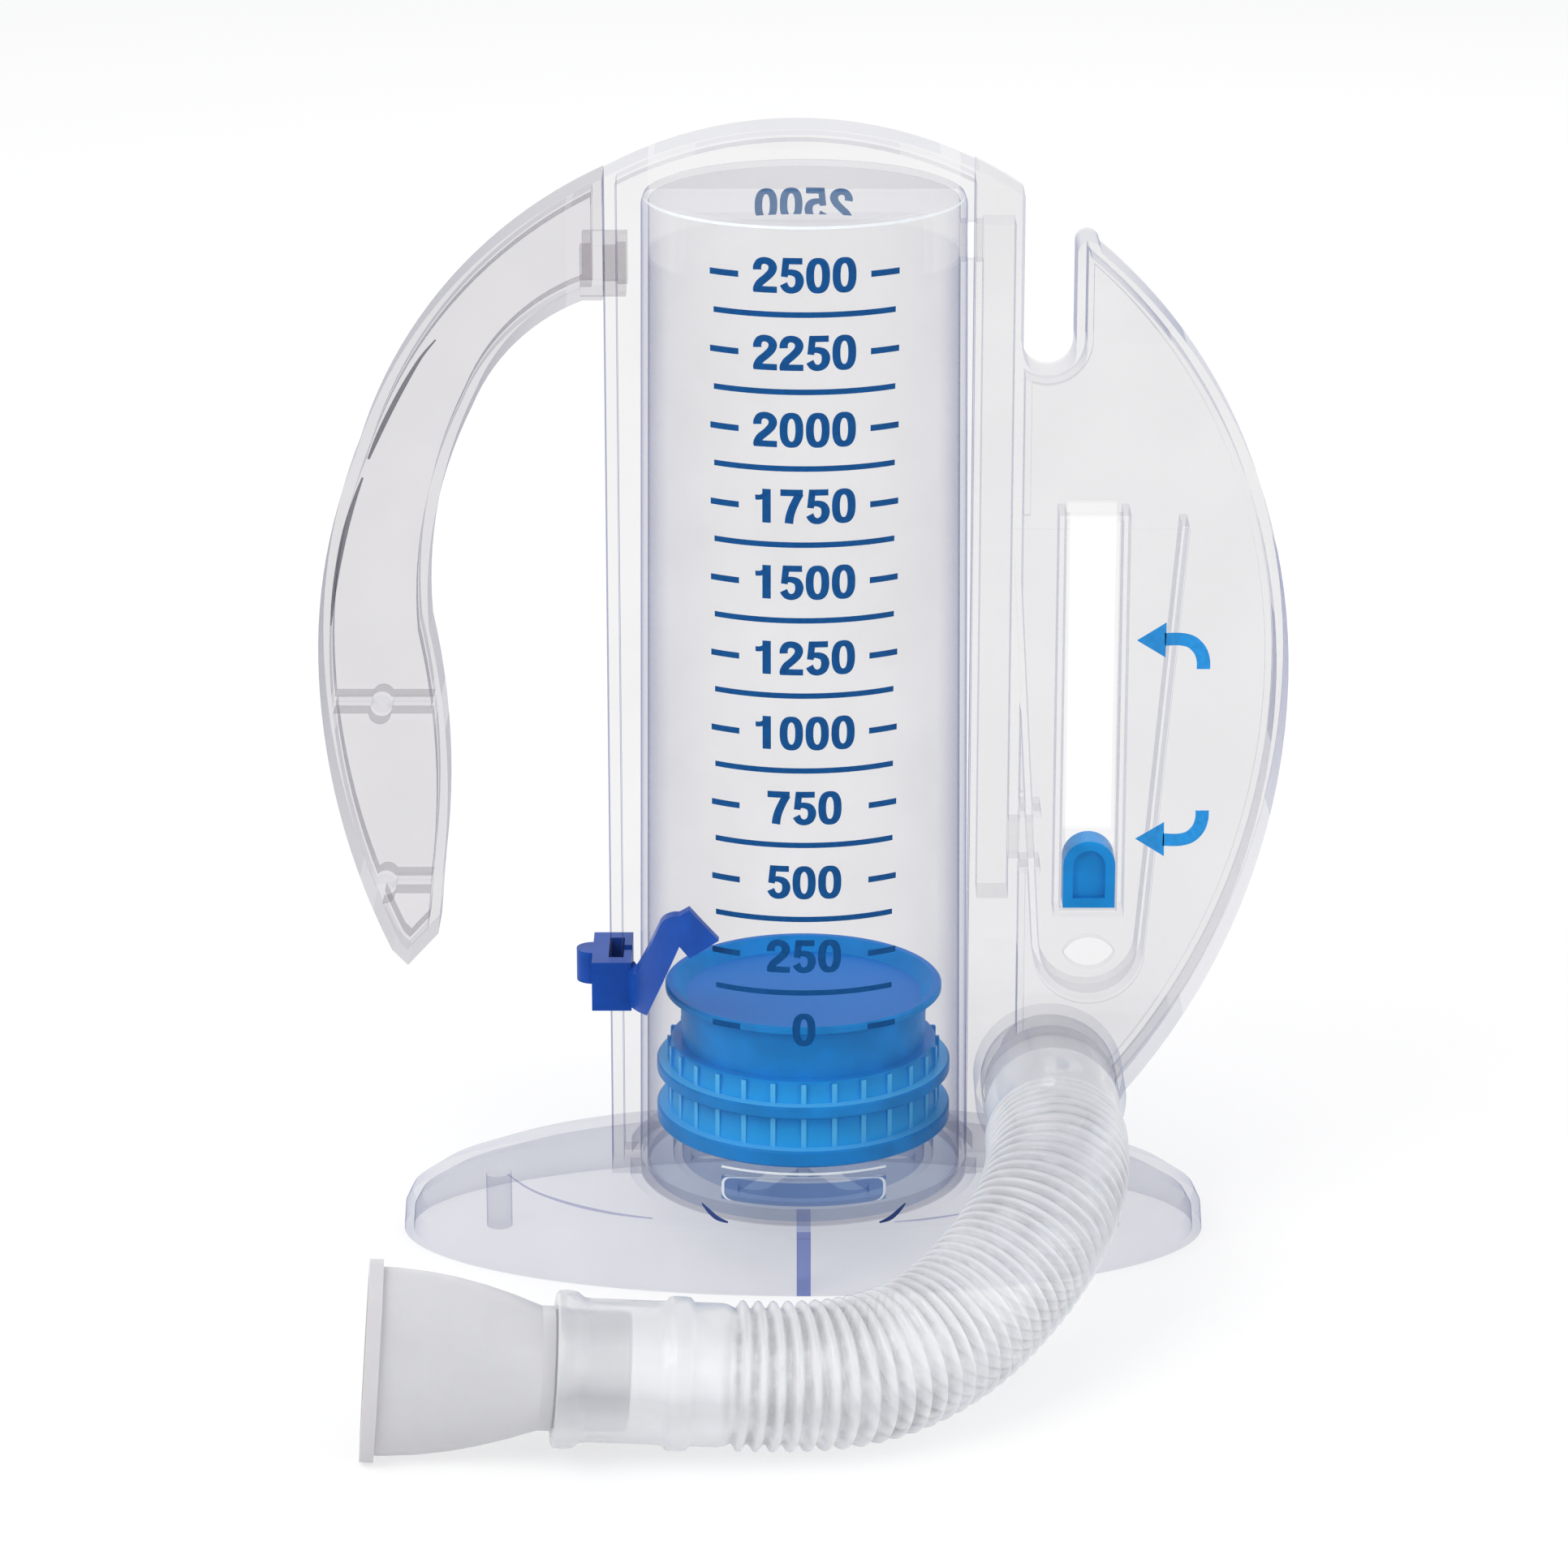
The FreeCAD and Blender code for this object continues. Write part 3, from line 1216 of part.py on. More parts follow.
def mouth_loft(name, shrunk, start, end):
    """The body, from its round neck to the flat mouth end, moved in by shrunk."""
    shrunk = as_size(shrunk)
    shoulder = at.mouth_shoulder_radius - shrunk
    high, wide = at.mouth_half_height - shrunk, at.mouth_half_width - shrunk
    facets = int(at.mouth_facets.value)
    swell = at.mouth_swell.value
    neck_end = start + at.mouth_neck
    sections = [mouth_oval(f"{name}_neck", shoulder, shoulder, start)]
    for number in range(facets + 1):
        share = number / facets
        blend = 1 - (1 - share) ** swell
        sections.append(mouth_oval(
            f"{name}_{number}",
            shoulder + (high - shoulder) * blend,
            shoulder + (wide - shoulder) * blend,
            neck_end + (end - neck_end) * share,
        ))
    item = doc.addObject("Part::Loft", name)
    item.Sections = sections
    item.Solid = True
    item.Ruled = True
    return item


def make_mouthpiece():
    spigot = upright("mouth_spigot", at.mouth_spigot_radius, -at.mouth_spigot_length, at.mouth_wall)
    flared = mouth_loft("mouth_flared", 0, as_size(0), at.mouth_length)
    lip_sections = [
        mouth_oval(f"lip_{number}", at.mouth_half_height + at.lip_height,
                   at.mouth_half_width + at.lip_height, at.mouth_length + along)
        for number, along in ((0, -at.lip_width), (1, as_size(0)))
    ]
    lip = doc.addObject("Part::Loft", "mouth_lip")
    lip.Sections = lip_sections
    lip.Solid = True
    lip.Ruled = True
    bore = upright("mouth_bore", at.mouth_spigot_radius - at.mouth_wall,
                   -at.mouth_spigot_length - PAST, at.mouth_wall * 2)
    inside = mouth_loft("mouth_inside", at.mouth_wall, at.mouth_wall, at.mouth_length + PAST)
    mouthpiece = cut("mouthpiece", joined("mouth_block", [spigot, flared, lip]),
                     joined("mouth_hollow", [bore, inside]))
    mouthpiece.Label = "mouthpiece"
    turn = mouth_turn()
    out = at.mouth_cuff_length.value + at.mouth_gap.value
    end = FreeCAD.Vector(*HOSE_ROUTE[-1]) + turn.multVec(UP * out)
    mouthpiece.Placement = FreeCAD.Placement(end, turn)
    return mouthpiece


def check(parts):
    bad = {"Invalid", "Error"}
    broken = [item.Label for item in doc.Objects if bad & set(item.State)]
    if broken:
        raise RuntimeError(f"features that failed: {broken}")
    for item in parts:
        shape = item.Shape
        if shape.isNull() or not shape.isValid():
            raise RuntimeError(f"{item.Label} has no valid shape")
        box = shape.optimalBoundingBox()
        spans = [(box.XMin, box.XMax), (box.YMin, box.YMax), (box.ZMin, box.ZMax)]
        places = " ".join(f"{low:.1f} {high:.1f}" for low, high in spans)
        print(f"{item.Label}: {len(shape.Solids)} solid, {shape.Volume / 1000:.2f} cm3, {places}")


def main():
    parts = [
        make_housing(), make_rear_cover(), make_handle(), make_base(), make_chamber_floor(),
        make_piston_cage(), make_piston_crown(), make_flow_float(), make_goal_pointer(),
        make_hose_port(), make_valve_seat(), make_valve_flap(), make_port_cuff(), make_hose(),
        make_mouth_cuff(), make_mouthpiece(),
    ]
    doc.recompute()
    check(parts)
    os.makedirs("parts", exist_ok=True)
    for item in parts:
        item.Shape.exportStep(f"parts/{item.Label}.step")


main()
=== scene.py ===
"""Dresses the breathing trainer: clear housing, loose piston, flow float, pointer, hose and mouthpiece.

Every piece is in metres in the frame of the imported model. The panel in the sidebar lists one
button per group of pieces, and main() presses them in order.
"""

import math

import bpy
from bpy.props import FloatProperty, FloatVectorProperty, IntProperty, PointerProperty
from bpy.types import Operator, Panel, PropertyGroup
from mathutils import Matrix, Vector


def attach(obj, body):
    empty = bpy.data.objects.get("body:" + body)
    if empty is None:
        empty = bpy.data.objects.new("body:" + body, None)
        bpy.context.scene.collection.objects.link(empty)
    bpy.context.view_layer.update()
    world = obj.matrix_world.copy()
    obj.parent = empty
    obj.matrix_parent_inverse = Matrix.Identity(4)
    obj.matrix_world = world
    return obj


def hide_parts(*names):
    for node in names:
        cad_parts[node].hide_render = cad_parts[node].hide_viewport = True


bl_info = {
    "name": "Breathing trainer dressing",
    "version": (1, 0, 0),
    "blender": (4, 5, 0),
    "location": "3D View > Sidebar > Trainer",
    "description": "Finishes the clear housing, piston, printed scale, hose and mouthpiece",
    "category": "Object",
}

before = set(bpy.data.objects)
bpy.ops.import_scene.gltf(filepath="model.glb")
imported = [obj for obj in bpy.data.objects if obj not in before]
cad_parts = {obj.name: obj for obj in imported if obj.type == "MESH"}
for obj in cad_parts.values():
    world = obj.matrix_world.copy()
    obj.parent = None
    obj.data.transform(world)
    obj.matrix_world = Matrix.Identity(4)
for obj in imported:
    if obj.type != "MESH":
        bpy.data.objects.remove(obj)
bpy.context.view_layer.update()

MM = 0.001
COLLAR_RADIUS = 0.0356

# The hose's route from the port cuff to the mouth cuff, as the CAD source has it.
HOSE_ROUTE = (
    (0.0492, -0.0420, 0.0353),
    (0.0492, -0.0505, 0.0353),
    (0.0482, -0.0605, 0.0332),
    (0.0446, -0.0705, 0.0286),
    (0.0374, -0.0810, 0.0224),
    (0.0274, -0.0925, 0.0169),
    (0.0156, -0.1020, 0.0144),
    (0.0010, -0.1079, 0.0143),
    (-0.0135, -0.1089, 0.01538),
)

CLEAR_NODES = ("housing", "rear_cover", "handle", "base", "chamber_floor", "hose_port", "valve_seat")


# Sizes and colours that a user would change.


def colour_setting(name, description, default):
    """A colour that the user can pick."""
    return FloatVectorProperty(
        name=name, description=description, default=default, size=3, subtype="COLOR", min=0, max=1
    )


def length_setting(name, description, default):
    """A length that the user can set."""
    return FloatProperty(name=name, description=description, default=default, unit="LENGTH")


class StageSettings(PropertyGroup):
    """Camera, floor and light."""

    lens: FloatProperty(
        name="Lens", description="Focal length of the camera", default=127.04, unit="CAMERA"
    )
    eye: FloatVectorProperty(
        name="Eye", description="Where the camera stands", size=3, subtype="XYZ",
        unit="LENGTH", default=(-0.0039, -1.047, 0.438),
    )
    pitch: FloatProperty(
        name="Pitch", description="How far the camera looks down", subtype="ANGLE",
        default=math.radians(18.15),
    )
    floor_colour: colour_setting("Floor", "Colour of the floor", (0.94, 0.94, 0.945))
    sky: FloatProperty(
        name="Sky", description="Strength of the even light from all round", default=0.72, min=0
    )
    key_power: FloatProperty(
        name="Key", description="Power of the lamp above on the left", default=9.0, unit="POWER"
    )
    fill_power: FloatProperty(
        name="Fill", description="Power of the lamp in front on the right", default=3.5, unit="POWER"
    )
    rim_power: FloatProperty(
        name="Rim", description="Power of the lamp behind", default=4.0, unit="POWER"
    )


class HoseSettings(PropertyGroup):
    """The corrugated hose and the cuffs at its ends."""

    pitch: length_setting("Pitch", "Mean distance between ridges", 0.0026)
    pitch_growth: FloatProperty(
        name="Pitch growth", description="How much wider the ridges stand towards the mouthpiece",
        default=0.18, min=0, max=0.9,
    )
    ridge_radius: length_setting("Ridge radius", "Radius over the ridges", 0.0140)
    valley_radius: length_setting("Valley radius", "Radius in the valleys", 0.0125)
    rings_per_pitch: IntProperty(
        name="Rings", description="Rings of the mesh for each ridge", default=8, min=4
    )
    sides: IntProperty(name="Sides", description="Sides of the mesh round the hose", default=72, min=16)
    port_cuff: length_setting("Port cuff", "Length of the cuff in the port", 0.0300)
    mouth_cuff: length_setting("Mouth cuff", "Length of the cuff at the mouthpiece", 0.0330)
    diameter: length_setting("Diameter", "Outside diameter of the hose", 0.0280)
    film: colour_setting("Film", "Colour of the hose's thin wall", (0.90, 0.91, 0.93))


class PlasticSettings(PropertyGroup):
    """Colours of the moulded plastics. A clear one's is the colour that it lets through."""

    clear: colour_setting("Clear", "The housing's walls, seen face on", (0.953, 0.951, 0.953))
    clear_edge: colour_setting("Clear edge", "A clear wall, seen edge on", (0.30, 0.33, 0.52))
    handle_clear: colour_setting("Handle", "The handle's web", (0.868, 0.860, 0.868))
    handle_edge: colour_setting(
        "Handle edge", "The handle's flanges, seen edge on", (0.42, 0.43, 0.50)
    )
    base_clear: colour_setting("Base", "The base's wall", (0.915, 0.918, 0.935))
    port_edge: colour_setting("Port edge", "The hose port, seen edge on", (0.62, 0.67, 0.80))
    floor_clear: colour_setting("Chamber floor", "The plate under the piston", (0.86, 0.90, 0.96))
    # Painted shade: the blue-grey sheet over the open inlet, with the piston's blue seen through it.
    inlet: colour_setting("Inlet", "The air inlet at the cylinder's foot", (0.42, 0.56, 0.80))
    haze: colour_setting("Haze", "Haze on clear walls", (0.86, 0.87, 0.91))
    piston: colour_setting("Piston", "Colour of the piston", (0.010, 0.275, 0.720))
    # Painted light: the paler blue where light passes the cage's thin wall.
    piston_light_through: colour_setting(
        "Thin piston wall", "The piston where light passes its thin wall", (0.025, 0.440, 0.900)
    )
    # Painted light: the paler blue of the cage's thin ribs.
    piston_rib_light: colour_setting("Piston ribs", "The thin upright ribs", (0.10, 0.56, 0.95))
    # Painted shade: the darker blue that the piston's level upper faces take by the way they face.
    piston_top_shade: colour_setting("Piston top", "The dish on top of the piston", (0.000, 0.185, 0.640))
    float_blue: colour_setting("Float", "Colour of the flow float", (0.002, 0.290, 0.740))
    pointer_blue: colour_setting("Pointer", "Colour of the goal pointer", (0.010, 0.070, 0.370))
    frosted: colour_setting("Frosted", "Colour of the mouthpiece", (0.68, 0.68, 0.70))
    silicone: colour_setting("Silicone", "Colour of the valve's flap", (0.78, 0.79, 0.81))


class PrintSettings(PropertyGroup):
    """The scale on the cylinder and the arrows on the wing."""

    ink: colour_setting("Ink", "Colour of the scale", (0.002, 0.066, 0.225))
    rear_ink: colour_setting("Rear ink", "Colour of the number at the back", (0.000, 0.160, 0.420))
    arrow: colour_setting("Arrow", "Colour of the arrows", (0.020, 0.260, 0.640))
    digit_height: length_setting("Digit height", "Height of the numbers", 0.00662)
    digit_step: length_setting("Digit step", "From one digit to the next", 0.00498)
    zero_height: length_setting("Zero", "Height of the lowest number above the ground", 0.0549)
    number_step: length_setting("Number step", "Height from one number to the next", 0.01505)
    number_bow: length_setting("Bow", "How far the middle numbers stand above even steps", 0.0005)
    lift: length_setting("Lift", "How far the ink stands on the wall", 0.00012)


# Meshes.


def mesh_object(name, points, faces, smooth=True):
    """A new object in the scene from points and faces."""
    mesh = bpy.data.meshes.new(name)
    mesh.from_pydata([tuple(p) for p in points], [], faces)
    if smooth:
        mesh.shade_smooth()
    mesh.update()
    made = bpy.data.objects.new(name, mesh)
    bpy.context.collection.objects.link(made)
    return made


def join_parts(name, parts, smooth=False):
    """One object from several (points, faces) pairs."""
    points, faces = [], []
    for some_points, some_faces in parts:
        first = len(points)
        points.extend(some_points)
        faces.extend([tuple(first + i for i in face) for face in some_faces])
    return mesh_object(name, points, faces, smooth)


def grid_faces(rows, wide, round_rows=False, round_wide=False, turned_over=False):
    """Four-sided faces between the points of a grid that are listed row by row."""
    faces = []
    for row in range(rows if round_rows else rows - 1):
        for k in range(wide if round_wide else wide - 1):
            here, after, beside = row * wide, (row + 1) % rows * wide, (k + 1) % wide
            if turned_over:
                faces.append((here + k, after + k, after + beside, here + beside))
            else:
                faces.append((here + k, here + beside, after + beside, after + k))
    return faces


def give(piece, material):
    """Makes that material the piece's only one."""
    piece.data.materials.clear()
    piece.data.materials.append(material)


# Nodes.


def blank_material(name):
    """A node material with nothing but its output."""
    material = bpy.data.materials.new(name)
    material.use_nodes = True
    material.node_tree.nodes.clear()
    output = material.node_tree.nodes.new("ShaderNodeOutputMaterial")
    return material, material.node_tree, output


def add(tree, kind, inputs=(), **properties):
    """A new node with its properties and the values of its inputs set."""
    made = tree.nodes.new(kind)
    for key, value in properties.items():
        setattr(made, key, value)
    for key, value in dict(inputs).items():
        made.inputs[key].default_value = value
    return made


def maths(tree, operation, *operands):
    """Result of a maths node; its operands are sockets or numbers."""
    made = add(tree, "ShaderNodeMath", operation=operation)
    for place, value in zip(made.inputs, operands):
        if isinstance(value, float):
            place.default_value = value
        else:
            tree.links.new(value, place)
    return made.outputs[0]


def axes(tree, vector):
    """X, Y and Z of a vector."""
    split = add(tree, "ShaderNodeSeparateXYZ")
    tree.links.new(vector, split.inputs[0])
    return split.outputs


def upward(tree):
    """How far a surface faces up: the Z of its normal."""
    return axes(tree, add(tree, "ShaderNodeNewGeometry").outputs["Normal"])["Z"]


def mapped(tree, value, low, high, to_low=0.0, to_high=1.0):
    """A value moved from one range to another, and held inside it."""
    made = add(tree, "ShaderNodeMapRange", {
        "From Min": low, "From Max": high, "To Min": to_low, "To Max": to_high,
    })
    tree.links.new(value, made.inputs["Value"])
    return made.outputs[0]


def within(tree, value, low, high):
    """One where a value lies between two limits."""
    over = maths(tree, "GREATER_THAN", value, low)
    return maths(tree, "MULTIPLY", over, maths(tree, "LESS_THAN", value, high))


def ramp(tree, fac, stops):
    """A colour ramp with the given (place, colour) stops."""
    made = tree.nodes.new("ShaderNodeValToRGB")
    elements = made.color_ramp.elements
    while len(elements) > 1:
        elements.remove(elements[0])
    elements[0].position, elements[0].color = stops[0][0], (*stops[0][1], 1)
    for place, colour in stops[1:]:
        elements.new(place).color = (*colour, 1)
    tree.links.new(fac, made.inputs["Fac"])
    return made.outputs["Color"]


def greys(*stops):
    """Stops of a ramp that runs from one grey to the next."""
    return [(place, (grey, grey, grey)) for place, grey in stops]


def shades(colour, *stops):
    """Stops of a ramp whose colours are shares of one colour."""
    return [(place, [min(1, c * share) for c in colour]) for place, share in stops]


def blended(tree, share, colour, other):
    """One colour with a share of another in it."""
    mix = add(tree, "ShaderNodeMix", {"B": (*other, 1)}, data_type="RGBA")
    tree.links.new(share, mix.inputs["Factor"])
    tree.links.new(colour, mix.inputs["A"])
    return mix.outputs["Result"]


def mixed_surface(tree, share, first, second, output):
    """Ends a material or a world with a mix of two shaders."""
    mix = add(tree, "ShaderNodeMixShader")
    for source, place in zip((share, first.outputs[0], second.outputs[0]), mix.inputs):
        tree.links.new(source, place)
    tree.links.new(mix.outputs[0], output.inputs["Surface"])


def noise(tree, place, scale, detail=3.0, roughness=0.55):
    """Cloudy noise."""
    made = add(tree, "ShaderNodeTexNoise", {"Scale": scale, "Detail": detail, "Roughness": roughness})
    tree.links.new(place, made.inputs["Vector"])
    return made.outputs["Fac"]


def moulding_bump(tree, scale, strength, distance):
    """Normals of a faintly wavy wall, its waves, and the place on it."""
    place = add(tree, "ShaderNodeTexCoord").outputs["Object"]
    wave = noise(tree, place, scale)
    bump = add(tree, "ShaderNodeBump", {"Strength": strength, "Distance": distance})
    tree.links.new(wave, bump.inputs["Height"])
    return bump.outputs["Normal"], wave, place


def coloured(tree, shader, colour, normal):
    """Leads a colour and normals into a shader."""
    tree.links.new(colour, shader.inputs[0])
    tree.links.new(normal, shader.inputs["Normal"])
    return shader


# Materials.

# Painted bands of light and shade round the hose, from its underside to its top: place and share of its
# colour.
HOSE_BANDS = (
    (0.00, 0.86), (0.14, 1.00), (0.30, 1.06), (0.42, 0.86), (0.50, 0.80), (0.58, 1.00),
    (0.68, 1.12), (0.80, 1.06), (0.90, 0.84), (1.00, 0.76),
)
# How much light the hose's film lets straight through, seen face on and edge on.
HOSE_CLEAR = (0.66, 0.28)
# How much of the floor's colour is plain white to the camera.
FLOOR_WHITE = 0.62


def clear_material(name, face_on, edge_on, haze, flat_share=1.0, inlays=()):
    """Clear moulded plastic: light passes face on, and edges show a cool grey.

    flat_share weakens the grey on level faces. Each inlay is a box with the colour of its walls
    and how much of that colour they take.
    """
    material, tree, output = blank_material(name)
    normal, wave, place = moulding_bump(tree, 45.0, 0.25, 0.0006)
    facing = add(tree, "ShaderNodeLayerWeight", {"Blend": 0.5}).outputs["Facing"]
    level = maths(tree, "ABSOLUTE", upward(tree))
    steep = mapped(tree, level, 0.6, 0.95, 1.0, flat_share)
    near = [f * 0.96 + e * 0.04 for f, e in zip(face_on, edge_on)]
    middle = [f * 0.76 + e * 0.24 for f, e in zip(face_on, edge_on)]
    tint = ramp(tree, maths(tree, "MULTIPLY", facing, steep), [
        (0.0, face_on), (0.50, near), (0.82, middle), (0.97, edge_on),
    ])
    uneven = add(tree, "ShaderNodeVectorMath", operation="SCALE")
    tree.links.new(tint, uneven.inputs[0])
    tree.links.new(mapped(tree, wave, 0.35, 0.75, 0.975, 1.0), uneven.inputs["Scale"])
    colour = uneven.outputs[0]
    for inlay in inlays:
        colour = tinted_inlay(tree, place, colour, *inlay)
    veil = ramp(tree, facing, greys((0.0, 0.004), (0.6, 0.02), (0.88, 0.12), (1.0, 0.34)))
    through = add(tree, "ShaderNodeBsdfTransparent")
    tree.links.new(colour, through.inputs["Color"])
    wall = add(tree, "ShaderNodeBsdfPrincipled", {
        "Base Color": (*haze, 1), "Roughness": 0.1, "IOR": 1.55,
    })
    tree.links.new(normal, wall.inputs["Normal"])
    mixed_surface(tree, veil, through, wall, output)
    return material


def tinted_inlay(tree, place, colour, low, high, shade, share):
    """Tints the walls inside a box, such as a solid rib that light passes edge on."""
    spot = axes(tree, place)
    part = share
    for axis, near, far in zip("XYZ", low, high):
        part = maths(tree, "MULTIPLY", within(tree, spot[axis], near, far), part)
    return blended(tree, part, colour, shade)


def dyed_material(name, colour, roughness=0.3, top=None, cage=None):
    """Dyed moulded plastic.

    top is the painted shade of its level upper faces, where it differs, and cage holds the
    colours of the painted light on the piston cage's thin wall and on its ribs.
    """
    material, tree, output = blank_material(name)
    normal, wave, place = moulding_bump(tree, 160.0, 0.22, 0.0004)
    result = ramp(tree, wave, shades(colour, (0.30, 0.84), (0.55, 1.0), (0.80, 1.15)))
    # Painted light where light passes the cage's thin wall and ribs, with painted shade under its
    # rings.
    if cage:
        result = cage_painted_light(tree, place, result, *cage)
    # Painted shade on the level upper faces, by the way they face.
    if top:
        result = blended(tree, mapped(tree, upward(tree), 0.7, 0.98), result, top)
    body = coloured(tree, add(tree, "ShaderNodeBsdfPrincipled", {
        "Roughness": roughness, "IOR": 1.5, "Specular IOR Level": 0.1,
        "Subsurface Weight": 0.1, "Subsurface Scale": 0.002,
    }), result, normal)
    tree.links.new(body.outputs[0], output.inputs["Surface"])
    return material


def cage_painted_light(tree, place, colour, thin, rib):
    """Painted light on the piston cage: paler between its rings, where light passes its thin wall, and
    on its ribs, with painted shade under each upper ring.
    """
    spot = axes(tree, place)
    flat = add(tree, "ShaderNodeCombineXYZ")
    tree.links.new(spot["X"], flat.inputs["X"])
    tree.links.new(spot["Y"], flat.inputs["Y"])
    out = add(tree, "ShaderNodeVectorMath", operation="LENGTH")
    tree.links.new(flat.outputs[0], out.inputs[0])
    ribs = within(tree, out.outputs["Value"], CAGE_RIBS_FROM, 1.0)
    for low, high in CAGE_THIN:
        here = within(tree, spot["Z"], low, high)
        # Painted shade under the ring above, fading out downwards.
        fade = mapped(tree, spot["Z"], high, low, 0.15, 1.0)
        colour = blended(tree, maths(tree, "MULTIPLY", here, fade), colour, thin)
        colour = blended(tree, maths(tree, "MULTIPLY", here, ribs), colour, rib)
    return colour


def milky_material(name, colour, clear, roughness, grain, dark=0.93):
    """Whitish plastic that lets a share of light through, seen face on and edge on.

    grain is the fineness and depth of its unevenness.
    """
    material, tree, output = blank_material(name)
    normal, wave, _ = moulding_bump(tree, grain[0], 0.3, grain[1])
    body = coloured(tree, add(tree, "ShaderNodeBsdfPrincipled", {
        "Roughness": roughness, "IOR": 1.48, "Subsurface Weight": 0.2, "Subsurface Scale": 0.003,
    }), ramp(tree, wave, shades(colour, (0.34, dark), (0.66, 1.0))), normal)
    part_clear(tree, body, output, *clear)
    return material


def part_clear(tree, body, output, face_on, edge_on):
    """Lets those shares of light straight through a surface."""
    through = add(tree, "ShaderNodeBsdfTransparent", {"Color": (0.93, 0.935, 0.95, 1)})
    facing = add(tree, "ShaderNodeLayerWeight", {"Blend": 0.5}).outputs["Facing"]
    solid = ramp(tree, facing, greys(
        (0.0, 1 - face_on), (0.6, 1 - (face_on + edge_on) / 2), (1.0, 1 - edge_on)
    ))
    mixed_surface(tree, solid, through, body, output)


def hose_material(name, colour):
    """Thin glassy film with painted bands of light along the hose, and painted shade in the creases of
    its folds, darker in patches.
    """
    material, tree, output = blank_material(name)
    normal, _, place = moulding_bump(tree, 260.0, 0.3, 0.0003)
    # Painted light and shade: bands by the way the surface faces up or down.
    sway = maths(tree, "MULTIPLY", noise(tree, place, 24.0, 2.0, 0.5), 0.5)
    height = maths(tree, "ADD", upward(tree), sway)
    bands = ramp(tree, mapped(tree, height, -0.85, 1.35), shades(colour, *HOSE_BANDS))
    # Painted shade in the creases: darker the deeper the fold, stronger in patches.
    crease_shade_patches = noise(tree, place, 85.0, 3.0, 0.6)
    dark = ramp(tree, crease_shade_patches, greys((0.38, 0.12), (0.50, 0.55), (0.60, 1.0)))
    fold = add(tree, "ShaderNodeAttribute", attribute_name="valley").outputs["Fac"]
    shade = blended(tree, maths(tree, "MULTIPLY", fold, dark), bands, [c * 0.26 for c in colour])
    body = coloured(tree, add(tree, "ShaderNodeBsdfPrincipled", {
        "Roughness": 0.1, "IOR": 1.5, "Specular IOR Level": 0.6,
        "Subsurface Weight": 0.1, "Subsurface Scale": 0.002,
    }), shade, normal)
    part_clear(tree, body, output, *HOSE_CLEAR)
    return material


def ink_material(name, colour):
    """Screen-printed ink: a flat film with a slightly uneven coat."""
    material, tree, output = blank_material(name)
    normal, wave, _ = moulding_bump(tree, 900.0, 0.15, 0.0001)
    tone = ramp(tree, wave, shades(colour, (0.3, 0.85), (0.7, 1.1)))
    film = coloured(tree, add(tree, "ShaderNodeBsdfPrincipled", {
        "Roughness": 0.45, "Specular IOR Level": 0.12,
    }), tone, normal)
    tree.links.new(film.outputs[0], output.inputs["Surface"])
    return material


def floor_material(colour):
    """Pale floor that keeps the object's shadow."""
    material, tree, output = blank_material("pale_floor")
    normal, wave, _ = moulding_bump(tree, 6.0, 0.05, 0.0005)
    tone = ramp(tree, wave, shades(colour, (0.2, 0.995), (0.8, 1.0)))
    matte = coloured(tree, add(tree, "ShaderNodeBsdfDiffuse", {"Roughness": 0.6}), tone, normal)
    glow = add(tree, "ShaderNodeEmission", {"Color": (1, 1, 1, 1), "Strength": 1.0})
    share = maths(tree, "MULTIPLY", seen_rays(tree), FLOOR_WHITE)
    mixed_surface(tree, share, matte, glow, output)
    return material


def seen_rays(tree):
    """One for rays that show a surface: from the camera, a reflection or through glass."""
    path = add(tree, "ShaderNodeLightPath").outputs
    first = maths(tree, "MAXIMUM", path["Is Camera Ray"], path["Is Glossy Ray"])
    return maths(tree, "MAXIMUM", first, path["Is Transmission Ray"])


# Stage: camera, floor, sky and lamps.

# Half the width of the floor, its height, and the cells along each side.
FLOOR_REACH = 6.0
FLOOR_HEIGHT = -0.0002
FLOOR_CELLS = 24
# Lamps: where each stands, the spot it faces and the side of its square.
LAMPS = {
    "key": ((-0.75, -0.75, 1.05), (0, 0, 0.1), 0.9),
    "fill": ((0.95, -0.95, 0.55), (0, 0, 0.1), 0.8),
    "rim": ((0.25, 0.95, 0.95), (0, 0, 0.12), 0.8),
}


def white_world(strength):
    """White behind the object, and even light of that strength on it."""
    world = bpy.data.worlds.new("white_surround")
    world.use_nodes = True
    tree = world.node_tree
    tree.nodes.clear()
    output = tree.nodes.new("ShaderNodeOutputWorld")
    light = add(tree, "ShaderNodeBackground", {"Color": (0.985, 0.99, 1.0, 1), "Strength": strength})
    white = add(tree, "ShaderNodeBackground", {"Color": (1, 1, 1, 1), "Strength": 1.0})
    mixed_surface(tree, seen_rays(tree), light, white, output)
    bpy.context.scene.world = world


def soft_lamp(name, place, target, size, power):
    """A square lamp that faces the target."""
    lamp = bpy.data.lights.new(name, "AREA")
    lamp.shape = "SQUARE"
    lamp.size = size
    lamp.energy = power
    made = bpy.data.objects.new(name, lamp)
    made.location = place
    aim = Vector(target) - Vector(place)
    made.rotation_euler = aim.to_track_quat("-Z", "Y").to_euler()
    bpy.context.collection.objects.link(made)


